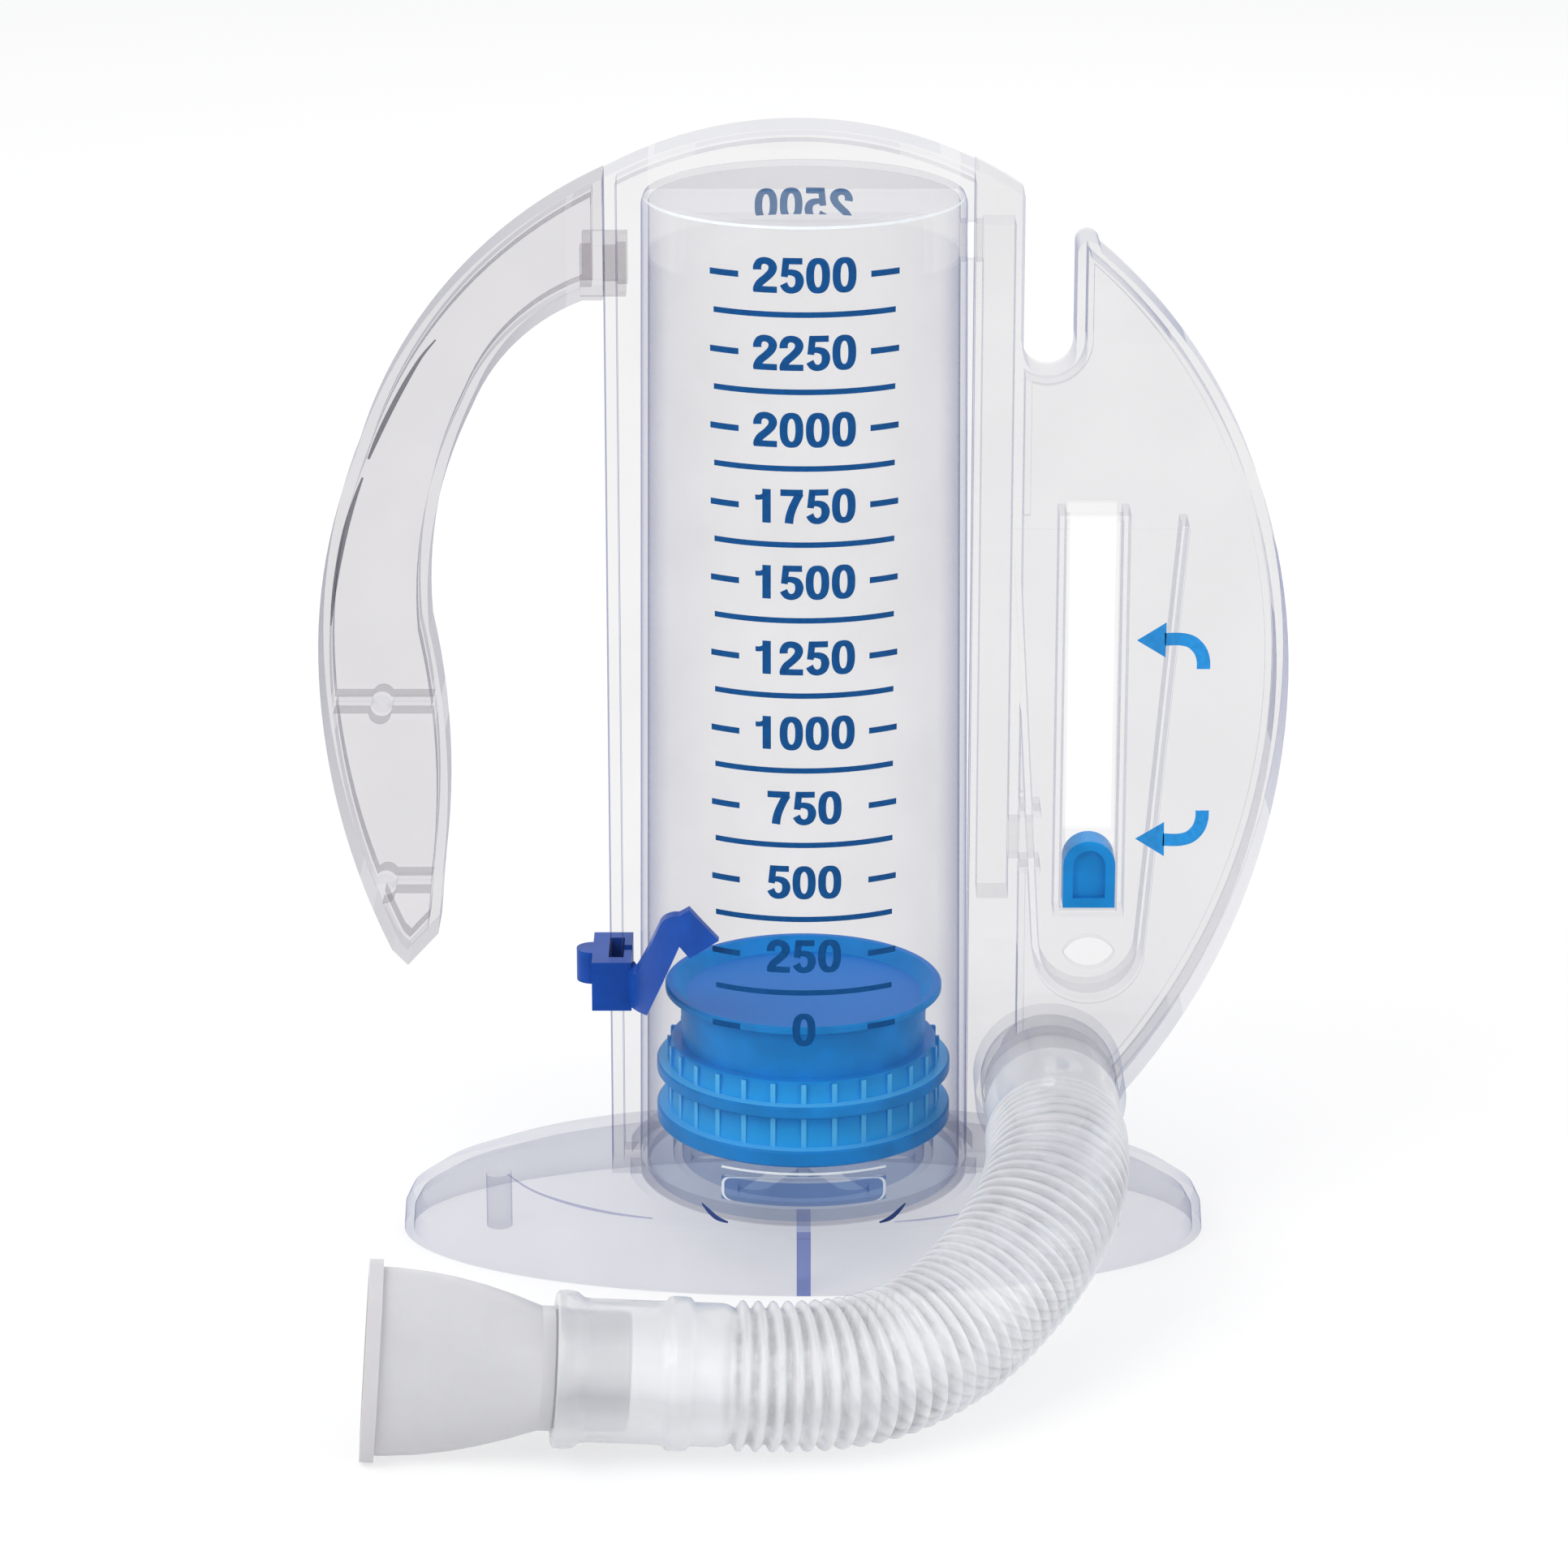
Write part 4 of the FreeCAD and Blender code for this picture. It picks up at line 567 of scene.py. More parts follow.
class TRAINER_OT_stage(Operator):
    """Set up the camera, the pale floor, the sky and the lamps"""

    bl_idname = "trainer.stage"
    bl_label = "Stage"

    def execute(self, context):
        scene = context.scene
        stage = scene.trainer_stage
        camera = bpy.data.cameras.new("camera")
        camera.lens = stage.lens
        camera.sensor_width = 36
        camera.clip_start, camera.clip_end = 0.05, 30
        eye = bpy.data.objects.new("camera", camera)
        eye.location = stage.eye
        eye.rotation_euler = (math.pi / 2 - stage.pitch, 0, 0)
        context.collection.objects.link(eye)
        scene.camera = eye

        side = [-FLOOR_REACH + 2 * FLOOR_REACH * i / FLOOR_CELLS for i in range(FLOOR_CELLS + 1)]
        spots = [(x, y, FLOOR_HEIGHT) for y in side for x in side]
        floor = mesh_object("floor", spots, grid_faces(len(side), len(side)))
        give(floor, floor_material(stage.floor_colour))

        white_world(stage.sky)
        for name, (place, target, size) in LAMPS.items():
            soft_lamp(name + "_lamp", place, target, size, getattr(stage, name + "_power"))

        scene.view_settings.view_transform = "Standard"
        scene.cycles.transparent_max_bounces = 64
        return {"FINISHED"}


# Hose: one thin tube with its two cuffs, along the smooth route.

# Outline of the port cuff: length from its end in the port, and radius. It ends short of the folds.
PORT_CUFF = (
    (0.0, 0.0112), (0.0, 0.0126), (0.0008, 0.0130), (0.0132, 0.0131), (0.0138, 0.01345),
    (0.0162, 0.01345), (0.0168, 0.0130),
)
PORT_CUFF_GAP = 0.0016
# Outline of the mouth cuff with its bead and flared end: length from the last fold, and radius.
MOUTH_CUFF = (
    (0.0012, 0.0131), (0.0024, 0.0133), (0.0075, 0.0133), (0.0082, 0.0141), (0.0090, 0.01425),
    (0.0112, 0.01425), (0.0120, 0.0141), (0.0126, 0.0133), (0.0150, 0.01325),
    (0.0265, 0.01325), (0.0278, 0.0134), (0.0292, 0.0144), (0.0310, 0.0146),
    (0.0325, 0.0145), (0.0330, 0.0140), (0.0330, 0.0118), (0.0300, 0.0112), (0.0200, 0.0112),
)
# How far before and after a ring the hose's heading is read.
HEADING_REACH = 0.0015


def hose_line():
    """Points of the smooth curve that the route's points control."""
    data = bpy.data.curves.new("hose_route", "CURVE")
    data.dimensions = "3D"
    data.resolution_u = 24
    spline = data.splines.new("NURBS")
    spline.points.add(len(HOSE_ROUTE) - 1)
    for point, place in zip(spline.points, HOSE_ROUTE):
        point.co = (*place, 1)
    spline.order_u = 3
    spline.use_endpoint_u = True
    carrier = bpy.data.objects.new("hose_route", data)
    line = bpy.data.meshes.new_from_object(carrier)
    points = [v.co.copy() for v in line.vertices]
    bpy.data.objects.remove(carrier)
    bpy.data.meshes.remove(line)
    return points


def walk(points):
    """Running length at each point of a line."""
    far = [0.0]
    for a, b in zip(points, points[1:]):
        far.append(far[-1] + (b - a).length)
    return far


def spot_at(points, far, s):
    """Place at length s along a line."""
    s = min(max(s, 0.0), far[-1])
    i = 0
    while i < len(far) - 2 and far[i + 1] < s:
        i += 1
    step = points[i + 1] - points[i]
    share = (s - far[i]) / max(far[i + 1] - far[i], 1e-9)
    return points[i] + step * share


def hose_profile(hose, total):
    """(length along the hose, radius) pairs from the port to the mouthpiece."""
    start, end = hose.port_cuff, total - hose.mouth_cuff
    rings = [*PORT_CUFF, (start - PORT_CUFF_GAP, PORT_CUFF[-1][1])]
    steps = round((end - start) / hose.pitch) * hose.rings_per_pitch
    depth = hose.ridge_radius - hose.valley_radius
    for i in range(steps + 1):
        share = i / steps
        wave = math.cos(2 * math.pi * i / hose.rings_per_pitch)
        wave = math.copysign(abs(wave) ** 0.75, wave)
        along = share + hose.pitch_growth * (share * share - share)
        fold = depth * (0.6 + 0.4 * share) * (1 + wave) / 2
        rings.append((start + (end - start) * along, hose.ridge_radius - fold))
    return rings + [(end + s, radius) for s, radius in MOUTH_CUFF]


def tube(name, points, rings, sides):
    """A round tube whose rings follow a line without twisting."""
    far = walk(points)
    turn = None
    vertices = []
    for s, radius in rings:
        here = spot_at(points, far, s)
        ahead = spot_at(points, far, s + HEADING_REACH)
        heading = (ahead - spot_at(points, far, s - HEADING_REACH)).normalized()
        if turn is None:
            turn = heading.cross(Vector((0, 0, 1))).normalized()
        turn = (turn - heading * turn.dot(heading)).normalized()
        other = heading.cross(turn)
        for k in range(sides):
            angle = 2 * math.pi * k / sides
            vertices.append(here + (turn * math.cos(angle) + other * math.sin(angle)) * radius)
    return mesh_object(name, vertices, grid_faces(len(rings), sides, round_wide=True))


class TRAINER_OT_hose(Operator):
    """Make the corrugated hose with the cuffs at its ends"""

    bl_idname = "trainer.hose"
    bl_label = "Hose"

    def execute(self, context):
        hose = context.scene.trainer_hose
        line = hose_line()
        first = (line[0] - line[1]).normalized()
        last = (line[-1] - line[-2]).normalized()
        line = [line[0] + first * hose.port_cuff] + line + [line[-1] + last * hose.mouth_cuff]
        total = walk(line)[-1]
        rings = hose_profile(hose, total)
        made = tube("corrugated_hose", line, rings, hose.sides)
        # How deep each ring lies in a fold: the mask for the painted shade in the creases.
        folds = made.data.attributes.new("valley", "FLOAT", "POINT")
        span = hose.ridge_radius - hose.valley_radius
        for i, (s, radius) in enumerate(rings):
            in_folds = hose.port_cuff <= s <= total - hose.mouth_cuff
            depth = min(max((hose.ridge_radius - radius) / span, 0), 1) ** 1.3 if in_folds else 0
            for k in range(hose.sides):
                folds.data[i * hose.sides + k].value = depth
        give(made, hose_material("hose_film", hose.film))
        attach(made, "stand")
        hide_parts("hose", "hose_cuff_port", "hose_cuff_mouth")
        return {"FINISHED"}


class TRAINER_OT_mouthpiece(Operator):
    """Give the mouthpiece its frosted plastic"""

    bl_idname = "trainer.mouthpiece"
    bl_label = "Mouthpiece"

    def execute(self, context):
        frosted = milky_material(
            "frosted_mouthpiece", context.scene.trainer_plastic.frosted,
            clear=(0.2, 0.04), roughness=0.38, grain=(90.0, 0.0003), dark=0.96,
        )
        give(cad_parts["mouthpiece"], frosted)
        return {"FINISHED"}


# Moulded parts that keep their CAD shape.

# Boxes whose walls take another colour: low corner, high corner and share of that colour.
INLAYS = {
    "flow_window": ((0.0520, -0.02, 0.0835), (0.0617, 0.02, 0.1512), 1.0),
    "duct_column": ((0.0335, -0.02, 0.0600), (0.0445, 0.02, 0.2200), 0.5),
    "wing": ((0.0445, -0.02, 0.0480), (0.0925, 0.02, 0.1860), 0.55),
    "closed_top": ((-0.0300, -0.02, 0.2030), (0.0300, 0.04, 0.2230), 0.65),
    "handle_root": ((-0.0460, -0.02, 0.1880), (-0.0300, 0.02, 0.2130), 0.6),
    "upper_handle_step": ((-0.0940, -0.02, 0.1080), (-0.0680, 0.02, 0.1150), 0.5),
    "lower_handle_step": ((-0.0940, -0.02, 0.0705), (-0.0680, 0.02, 0.0775), 0.5),
    "base_rib": ((-0.0014, -0.05, -0.001), (0.0014, -0.02, 0.0132), 1.0),
}
WHITE = (1.0, 1.0, 1.0)
BASE_RIB_SHADE = (0.50, 0.55, 0.76)


def inlays(shade, *names):
    """Those inlays in one colour, as clear_material takes them."""
    return [(INLAYS[name][0], INLAYS[name][1], shade, INLAYS[name][2]) for name in names]


class TRAINER_OT_clear_parts(Operator):
    """Give the housing, cover, handle, base, floor and port their clear plastic"""

    bl_idname = "trainer.clear_parts"
    bl_label = "Clear parts"

    def execute(self, context):
        plastic = context.scene.trainer_plastic
        clear, edge, haze = plastic.clear, plastic.clear_edge, plastic.haze
        window = inlays(WHITE, "flow_window")
        wall = clear_material(
            "clear_housing", clear, edge, haze, 0.8,
            inlays(clear, "wing", "closed_top", "duct_column") + window,
        )
        finishes = {
            "rear_cover": clear_material(
                "clear_cover", clear, edge, haze, 0.8, inlays(clear, "wing", "duct_column") + window
            ),
            "handle": clear_material(
                "clear_handle", plastic.handle_clear, plastic.handle_edge, haze,
                inlays=inlays(
                    plastic.handle_clear, "handle_root", "upper_handle_step", "lower_handle_step"
                ),
            ),
            "base": clear_material(
                "clear_base", plastic.base_clear, edge, haze, 0.3, inlays(BASE_RIB_SHADE, "base_rib")
            ),
            "chamber_floor": clear_material("clear_floor", plastic.floor_clear, edge, haze, 0.4),
            "hose_port": clear_material("clear_port", clear, plastic.port_edge, haze),
        }
        for name in CLEAR_NODES:
            give(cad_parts[name], finishes.get(name, wall))
        return {"FINISHED"}


# Outside of the piston cage in millimetres: radius and height, with its two guide rings.
CAGE_PROFILE = (
    (22.8, 24.4), (29.2, 24.4), (29.6, 24.8), (29.6, 27.4), (29.2, 27.8), (27.3, 27.9), (27.0, 34.5),
    (29.2, 34.6), (29.6, 35.0), (29.6, 36.8), (29.2, 37.1), (27.0, 37.2), (26.7, 41.1), (26.3, 41.4),
    (22.8, 41.4),
)
CAGE_SIDES = 128
# Upright ribs of the cage: count, width, inner and outer radius, and the two heights of each row.
CAGE_RIBS = (28, 1.0, 26.6, 27.5)
CAGE_ROWS = ((27.7, 34.7), (37.0, 41.2))
# In metres: the heights between which the cage's wall is thin, and how far out its ribs begin.
# Between those heights the colour is painted paler, as light through the wall, with painted shade under
# the upper ring.
CAGE_THIN = ((0.0278, 0.0346), (0.0371, 0.0415))
CAGE_RIBS_FROM = 0.02735


def turned(profile, sides):
    """A closed ring of the given (radius, height) outline round the cylinder's axis."""
    points = []
    for k in range(sides):
        angle = 2 * math.pi * k / sides
        points += [(r * math.cos(angle) * MM, r * math.sin(angle) * MM, z * MM) for r, z in profile]
    return points, grid_faces(sides, len(profile), True, True, turned_over=True)


def upright_rib(angle, width, inner, outer, low, high):
    """A thin upright rib that stands out of a round wall."""
    points = []
    for z in (low, high):
        for r, side in ((inner, -1), (outer, -1), (outer, 1), (inner, 1)):
            across = side * width / 2
            points.append((
                (r * math.cos(angle) - across * math.sin(angle)) * MM,
                (r * math.sin(angle) + across * math.cos(angle)) * MM, z * MM,
            ))
    return points, [(0, 3, 2, 1), (4, 5, 6, 7), (0, 1, 5, 4), (1, 2, 6, 5), (2, 3, 7, 6), (3, 0, 4, 7)]


class TRAINER_OT_blue_parts(Operator):
    """Give the piston, the flow float and the goal pointer their dyed plastic"""

    bl_idname = "trainer.blue_parts"
    bl_label = "Piston, float and pointer"

    def execute(self, context):
        plastic = context.scene.trainer_plastic
        count, width, inner, outer = CAGE_RIBS
        parts = [turned(CAGE_PROFILE, CAGE_SIDES)] + [
            upright_rib(2 * math.pi * k / count, width, inner, outer, low, high)
            for low, high in CAGE_ROWS for k in range(count)
        ]
        made = join_parts("ringed_piston_cage", parts)
        give(made, dyed_material("piston_cage_blue", plastic.piston,
                                 cage=(plastic.piston_light_through, plastic.piston_rib_light)))
        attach(made, "piston")
        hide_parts("piston_cage")
        # The crown's level upper faces take the painted shade.
        crown = dyed_material("piston_crown_blue", plastic.piston, 0.4, plastic.piston_top_shade)
        give(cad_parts["piston_crown"], crown)
        give(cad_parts["flow_float"], dyed_material("float_blue", plastic.float_blue, 0.25))
        give(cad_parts["goal_pointer"], dyed_material("pointer_blue", plastic.pointer_blue, 0.32))
        return {"FINISHED"}


class TRAINER_OT_valve(Operator):
    """Give the one-way valve's flap its silicone"""

    bl_idname = "trainer.valve"
    bl_label = "Valve flap"

    def execute(self, context):
        give(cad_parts["valve_flap"], milky_material(
            "valve_silicone", context.scene.trainer_plastic.silicone,
            clear=(0.2, 0.05), roughness=0.55, grain=(500.0, 0.0002),
        ))
        return {"FINISHED"}


# Printing: numbers, dashes and lines round the cylinder, arrows on the wing.

# Strokes of the digits in a box one high: centre line and width at each point.
DIGIT_STROKES = {
    "1": [
        [(0.37, 0.00, 0.21), (0.37, 0.50, 0.21), (0.37, 1.00, 0.21)],
        [(0.06, 0.735, 0.13), (0.20, 0.745, 0.13), (0.30, 0.80, 0.13), (0.36, 0.88, 0.14)],
    ],
    "2": [
        [(0.125, 0.64, 0.21), (0.125, 0.74, 0.20), (0.19, 0.87, 0.18), (0.33, 0.915, 0.17),
         (0.48, 0.86, 0.19), (0.545, 0.73, 0.21), (0.50, 0.58, 0.20), (0.36, 0.42, 0.19),
         (0.20, 0.27, 0.19), (0.125, 0.12, 0.20), (0.12, 0.02, 0.20)],
        [(0.02, 0.08, 0.16), (0.34, 0.08, 0.16), (0.66, 0.08, 0.16)],
    ],
    "5": [
        [(0.10, 0.92, 0.16), (0.36, 0.92, 0.16), (0.63, 0.92, 0.16)],
        [(0.19, 0.98, 0.17), (0.165, 0.72, 0.17), (0.14, 0.46, 0.17)],
        [(0.12, 0.50, 0.12), (0.22, 0.585, 0.14), (0.36, 0.59, 0.16), (0.50, 0.52, 0.19),
         (0.555, 0.35, 0.21), (0.50, 0.16, 0.19), (0.35, 0.075, 0.16), (0.20, 0.12, 0.18),
         (0.115, 0.26, 0.20)],
    ],
    "7": [
        [(0.03, 0.91, 0.17), (0.33, 0.91, 0.17), (0.65, 0.91, 0.17)],
        [(0.57, 0.90, 0.20), (0.45, 0.66, 0.20), (0.35, 0.42, 0.205), (0.29, 0.20, 0.21),
         (0.265, 0.00, 0.215)],
    ],
}
DIGIT_WIDTH = 0.70
# How much wider than drawn the strokes are, and the digits across.
STROKE_GAIN = 1.16
DIGIT_GAIN = 1.045
# Edges of the digit 0: half width, half height and how square its corners are.
ZERO_INSIDE = (0.112, 0.335, 2.3)
ZERO_OUTSIDE = (0.340, 0.515, 2.5)
ZERO_SIDES = 48
# Measuring cylinder in metres: radius at its foot, height of the foot, and its taper over a height.
FOOT_RADIUS = 0.0331
FOOT_HEIGHT = 0.0136
TAPER = 0.0016 / 0.1994


def smooth_line(points, steps=6):
    """A line through the points, rounded between them, in two or more numbers each."""
    ends = [points[0]] + list(points) + [points[-1]]
    made = []
    for a, b, c, d in zip(ends, ends[1:], ends[2:], ends[3:]):
        for i in range(steps):
            t = i / steps
            made.append(tuple(
                0.5 * (2 * q + (r - p) * t + (2 * p - 5 * q + 4 * r - s) * t * t
                       + (3 * q - p - 3 * r + s) * t ** 3)
                for p, q, r, s in zip(a, b, c, d)
            ))
    made.append(tuple(points[-1]))
    return made


def ribbon(points):
    """A flat band of changing width along (x, z, width) points."""
    made = []
    for i, (x, z, width) in enumerate(points):
        before, after = points[max(i - 1, 0)], points[min(i + 1, len(points) - 1)]
        along = Vector((after[0] - before[0], after[1] - before[1])).normalized()
        side = Vector((-along.y, along.x)) * width / 2
        for share in (-1, -0.33, 0.33, 1):
            made.append((x + side.x * share, z + side.y * share))
    return made, grid_faces(len(points), 4)


def squarish(angle, half_wide, half_tall, square):
    """The spot at that angle on a rounded outline round the middle of a digit's box."""
    c, s = math.cos(angle), math.sin(angle)
    return (DIGIT_WIDTH / 2 + math.copysign(abs(c) ** (2 / square), c) * half_wide,
            0.5 + math.copysign(abs(s) ** (2 / square), s) * half_tall)


def zero_ring():
    """The digit 0: a tall rounded ring."""
    made = []
    for k in range(ZERO_SIDES):
        angle = 2 * math.pi * (k + 0.5) / ZERO_SIDES
        inner, outer = squarish(angle, *ZERO_INSIDE), squarish(angle, *ZERO_OUTSIDE)
        for share in (0, 0.5, 1):
            made.append(tuple(a + (b - a) * share for a, b in zip(inner, outer)))
    return made, grid_faces(ZERO_SIDES, 3, round_rows=True, turned_over=True)


def number_parts(text, middle, height, step):
    """Flat (x, z) parts of a number centred at (0, middle)."""
    parts = []
    for i, digit in enumerate(text):
        left = (i - (len(text) - 1) / 2) * step - DIGIT_WIDTH / 2 * height
        shapes = [zero_ring()] if digit == "0" else [
            ribbon([(x * DIGIT_GAIN, z, width * STROKE_GAIN) for x, z, width in smooth_line(stroke)])
            for stroke in DIGIT_STROKES[digit]
        ]
        for points, faces in shapes:
            parts.append(([(left + x * height, middle + (z - 0.5) * height) for x, z in points], faces))
    return parts


def bar(left, right, middle, thickness, steps):
    """A flat straight bar in the (x, z) plane, divided along its length."""
    points = []
    for i in range(steps + 1):
        x = left + (right - left) * i / steps
        points += [(x, middle - thickness / 2), (x, middle + thickness / 2)]
    return points, grid_faces(steps + 1, 2, turned_over=True)


def on_cylinder(parts, lift, back=False):
    """Wraps flat (x, z) parts on the front or the back of the measuring cylinder."""
    made = []
    side = 1 if back else -1
    for points, faces in parts:
        wrapped = []
        for x, z in points:
            radius = FOOT_RADIUS - TAPER * (z - FOOT_HEIGHT) + lift
            wrapped.append((x, side * math.sqrt(radius * radius - x * x), z))
        made.append((wrapped, faces))
    return made


def number_height(marks, i):
    """Height of the middle of the scale's number i above the ground."""
    return marks.zero_height + marks.number_step * i + marks.number_bow * math.sin(math.pi * i / 10)


def above(parts, limit):
    """The faces of flat (x, z) parts that reach above a height, cut off level there."""
    made = []
    for points, faces in parts:
        kept = [face for face in faces if max(points[k][1] for k in face) > limit + 1e-5]
        made.append(([(x, max(z, limit)) for x, z in points], kept))
    return made


# In metres: inner and outer end of the dashes beside a number, their thickness, and how far
# below the number's middle they stand.
DASH = (0.0125, 0.0179, 0.0012, 0.0002)
# Reach of the long lines to each side, and their thickness.
LONG_LINE = (0.0172, 0.0011)
# The numbers on the scale, from 0 up, and the step from one to the next.
NUMBERS = 11
NUMBER_VALUE = 250
# Height below which the number at the back doesn't show.
REAR_CUT = 0.2034


class TRAINER_OT_scale(Operator):
    """Print the scale on the measuring cylinder"""

    bl_idname = "trainer.scale"
    bl_label = "Scale"

    def execute(self, context):
        marks = context.scene.trainer_print
        inner, outer, dash_thickness, drop = DASH
        reach, line_thickness = LONG_LINE
        parts = []
        for i in range(NUMBERS):
            middle = number_height(marks, i)
            number = str(NUMBER_VALUE * i)
            parts += number_parts(number, middle, marks.digit_height, marks.digit_step)
            for left, right in ((-outer, -inner), (inner, outer)):
                parts.append(bar(left, right, middle - drop, dash_thickness, 6))
            if i:
                parts.append(bar(-reach, reach, middle - marks.number_step / 2, line_thickness, 36))
        made = join_parts("printed_scale", on_cylinder(parts, marks.lift))
        give(made, ink_material("scale_ink", marks.ink))
        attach(made, "stand")

        top = number_height(marks, NUMBERS - 1)
        rear = number_parts("2500", top, marks.digit_height, marks.digit_step)
        rear = above([([(-x, z) for x, z in points], faces) for points, faces in rear], REAR_CUT)
        made = join_parts("printed_rear_number", on_cylinder(rear, marks.lift, back=True))
        give(made, ink_material("rear_ink", marks.rear_ink))
        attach(made, "stand")
        return {"FINISHED"}


# Fine lines of the moulding and painted highlights, in millimetres.

# Air inlet at the foot of the cylinder: half width, lower and upper edge, radius of its corners.
INLET = (16.3, 17.7, 22.6, 1.6)
# Thickness of the inlet's real rim, white as a painted highlight, and middle and thickness of the
# painted highlight line above it.
INLET_LINE = 0.55
INLET_SILL = (24.6, 0.5)
# Catches beside the inlet on the collar: across, up and width.
CATCH = ((20.2, 16.9, 0.3), (18.9, 15.7, 0.9), (17.2, 14.5, 1.0), (15.0, 14.0, 0.4))
# Step on the deck of the base, left of the collar and right of it: across, forward and width.
DECK_STEPS = (
    ((-60.0, 6.0, 0.3), (-55.5, 13.5, 0.7), (-50.5, 18.8, 1.0), (-44.0, 23.6, 1.3), (-37.0, 27.2, 1.2),
     (-30.0, 29.4, 0.7)),
    ((18.0, 31.2, 0.5), (24.0, 29.8, 1.0), (30.0, 27.6, 0.8), (35.0, 24.8, 0.3)),
)
# Slots in the handle's web beside its outer flange: across, up and width.
HANDLE_SLOTS = (
    ((-71.4, 185.8, 0.3), (-74.3, 182.3, 0.6), (-77.4, 177.3, 0.9), (-80.4, 171.8, 1.0),
     (-83.1, 166.3, 0.9), (-85.0, 161.9, 0.5)),
    ((-86.2, 158.2, 0.4), (-88.0, 153.4, 0.8), (-89.9, 147.2, 1.1), (-91.5, 140.0, 1.0),
     (-92.6, 133.3, 0.7), (-93.2, 128.0, 0.3)),
)

# In metres: the painted highlight along the front rim of the cylinder's top, as radius, lower and
# upper edge and reach to each side, then the front of the handle's web and the front of the wing.
TOP_LINE = (0.0312, 0.2141, 0.2147, math.radians(82))
HANDLE_WEB = -0.00125
WING_FRONT = -0.0055

# Colours of the fine lines, the first a painted highlight: a clear one's seen face on, then edge on.
EDGE_HIGHLIGHT_PAINT = (0.97, 0.975, 0.99)
CATCH_SHADE = (0.030, 0.060, 0.21)
STEP_SHADES = ((0.62, 0.64, 0.78), (0.5, 0.52, 0.7))
SLOT_SHADES = ((0.30, 0.30, 0.33), (0.25, 0.25, 0.3))


def outline_ring(half_wide, low, high, corner, thickness):
    """A flat rounded frame, as (x, z) points and faces."""
    middle = (low + high) / 2
    points = []
    corners = ((half_wide, high), (-half_wide, high), (-half_wide, low), (half_wide, low))
    for turn, (across, up) in enumerate(corners):
        for k in range(7):
            angle = (turn + k / 6) * math.pi / 2
            x = across - math.copysign(corner, across) + corner * math.cos(angle)
            z = up - (corner if up == high else -corner) + corner * math.sin(angle)
            inward = 1 - thickness / math.hypot(x, z - middle)
            points += [(x, z), (x * inward, middle + (z - middle) * inward)]
    return points, grid_faces(len(points) // 2, 2, round_rows=True)


def in_metres(parts):
    """Flat parts in metres from parts in millimetres."""
    return [([(x * MM, z * MM) for x, z in points], faces) for points, faces in parts]


def band_round(radius, low, high, reach, steps=64):
    """An upright band round the front of the cylinder, from -reach to reach."""
    points = []
    for k in range(steps + 1):
        angle = -reach + 2 * reach * k / steps
        x, y = radius * math.sin(angle), -radius * math.cos(angle)
        points += [(x, y, low), (x, y, high)]
    return points, grid_faces(steps + 1, 2, turned_over=True)


def drawn(lines, place):
    """Ribbons along flat lines in millimetres; place() stands each of their points, in metres."""
    parts = in_metres([ribbon(smooth_line(line)) for line in lines])
    return [([place(across, up) for across, up in points], faces) for points, faces in parts]


class TRAINER_OT_fine_lines(Operator):
    """Add the painted shade in the inlet, its frame with painted highlights, the painted highlight on
    the cylinder's top rim, the inlet's catches, the step on the deck and the slots in the handle
    """

    bl_idname = "trainer.fine_lines"
    bl_label = "Fine lines"

    def execute(self, context):
        plastic, lift = context.scene.trainer_plastic, context.scene.trainer_print.lift
        half_wide, low, high, _ = INLET
        # A blue-grey sheet over the open inlet: painted shade, with the piston's blue seen through it.
        pane = in_metres([bar(-half_wide, half_wide, (low + high) / 2, high - low, 24)])
        pane = join_parts("inlet_pane", on_cylinder(pane, lift), smooth=True)
        give(pane, clear_material("inlet_clear", plastic.inlet, plastic.inlet, plastic.haze))

        # Painted highlights: white on the inlet's rim, the line above it, and a band along the front
        # rim of the cylinder's top.
        lines = in_metres([
            outline_ring(*INLET, INLET_LINE), bar(-half_wide, half_wide, *INLET_SILL, 24),
        ])
        light = join_parts("light_lines", on_cylinder(lines, lift * 2) + [band_round(*TOP_LINE)])
        give(light, milky_material(
            "bright_edge", EDGE_HIGHLIGHT_PAINT, clear=(0.25, 0.1), roughness=0.25, grain=(300.0, 0.0002)
        ))

        catches = []
        for side in (-1, 1):
            catches += drawn([CATCH], lambda x, z: (
                side * x, -math.sqrt(COLLAR_RADIUS ** 2 - x * x) - lift, z
            ))
        catches = join_parts("inlet_catches", catches)
        give(catches, dyed_material("catch_shade", CATCH_SHADE))

        deck = join_parts("deck_steps", drawn(DECK_STEPS, lambda x, y: (x, -y, FOOT_HEIGHT)))
        give(deck, clear_material("step_shade", *STEP_SHADES, plastic.haze))

        handle = join_parts("handle_slots", drawn(HANDLE_SLOTS, lambda x, z: (x, HANDLE_WEB, z)))
        give(handle, clear_material("slot_shade", *SLOT_SHADES, plastic.haze))
        for made in (pane, light, catches, deck, handle):
            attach(made, "stand")
        return {"FINISHED"}


# Outline of the upper arrow in millimetres, seen from the front: across and up, and the body's width.
ARROW_HEAD = ((65.4, 126.3), (71.2, 130.0), (71.1, 122.8))
ARROW_BODY = ((70.9, 126.5, 2.6), (74.0, 126.55, 2.6), (76.3, 125.9, 2.65), (77.9, 124.2, 2.65),
              (78.55, 122.2, 2.65), (78.6, 120.4, 2.65))
# In metres: the height at which the lower arrow mirrors the upper one, and its shift across.
ARROW_MIDDLE = 0.10575
ARROW_SHIFT = 0.00045


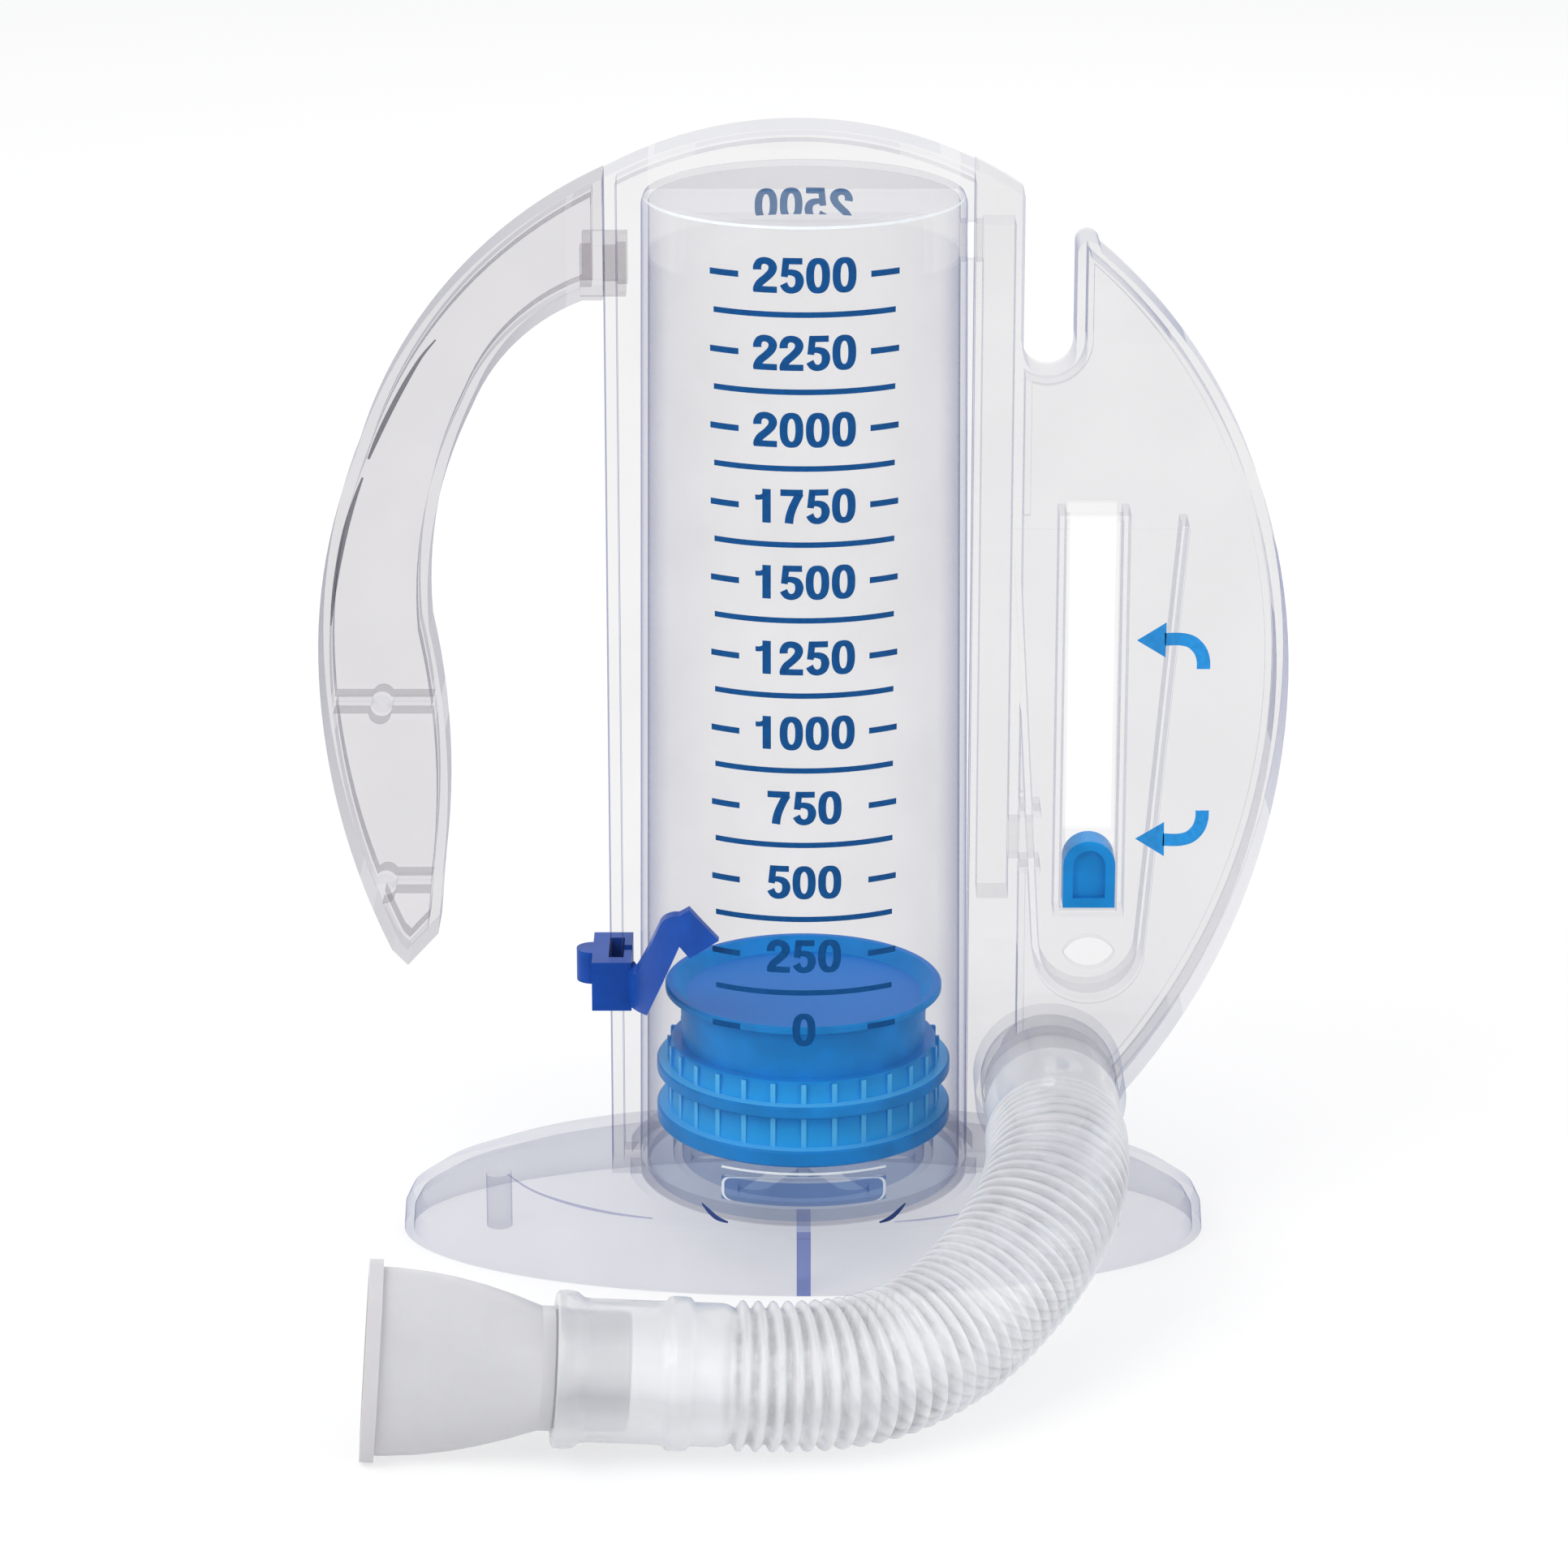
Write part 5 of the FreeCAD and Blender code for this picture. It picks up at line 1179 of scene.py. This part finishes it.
class TRAINER_OT_arrows(Operator):
    """Print the two curved arrows beside the flow window"""

    bl_idname = "trainer.arrows"
    bl_label = "Arrows"

    def execute(self, context):
        marks = context.scene.trainer_print
        front = WING_FRONT - marks.lift
        parts = []
        for place in (
            lambda x, z: (x, front, z),
            lambda x, z: (x + ARROW_SHIFT, front, 2 * ARROW_MIDDLE - z),
        ):
            parts += drawn([ARROW_BODY], place)
            parts.append(([place(x * MM, z * MM) for x, z in ARROW_HEAD], [(0, 1, 2)]))
        made = join_parts("printed_arrows", parts)
        give(made, ink_material("arrow_ink", marks.arrow))
        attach(made, "stand")
        return {"FINISHED"}


class TRAINER_PT_panel(Panel):
    """Buttons for the pieces of the breathing trainer"""

    bl_label = "Breathing trainer"
    bl_idname = "TRAINER_PT_panel"
    bl_space_type = "VIEW_3D"
    bl_region_type = "UI"
    bl_category = "Trainer"

    def draw(self, context):
        for step in STEPS:
            self.layout.operator(step.bl_idname)


STEPS = (
    TRAINER_OT_stage,
    TRAINER_OT_hose,
    TRAINER_OT_mouthpiece,
    TRAINER_OT_clear_parts,
    TRAINER_OT_blue_parts,
    TRAINER_OT_valve,
    TRAINER_OT_scale,
    TRAINER_OT_fine_lines,
    TRAINER_OT_arrows,
)
GROUPS = (
    ("trainer_stage", StageSettings),
    ("trainer_hose", HoseSettings),
    ("trainer_plastic", PlasticSettings),
    ("trainer_print", PrintSettings),
)


def register():
    """Adds the settings, the buttons and the panel."""
    for name, group in GROUPS:
        bpy.utils.register_class(group)
        setattr(bpy.types.Scene, name, PointerProperty(type=group))
    for step in STEPS:
        bpy.utils.register_class(step)
    bpy.utils.register_class(TRAINER_PT_panel)


def unregister():
    """Takes away what register() added."""
    bpy.utils.unregister_class(TRAINER_PT_panel)
    for step in reversed(STEPS):
        bpy.utils.unregister_class(step)
    for name, group in reversed(GROUPS):
        delattr(bpy.types.Scene, name)
        bpy.utils.unregister_class(group)


def main():
    """Makes every piece in order."""
    register()
    bpy.ops.trainer.stage()
    bpy.ops.trainer.hose()
    bpy.ops.trainer.mouthpiece()
    bpy.ops.trainer.clear_parts()
    bpy.ops.trainer.blue_parts()
    bpy.ops.trainer.valve()
    bpy.ops.trainer.scale()
    bpy.ops.trainer.fine_lines()
    bpy.ops.trainer.arrows()


if __name__ == "__main__":
    main()
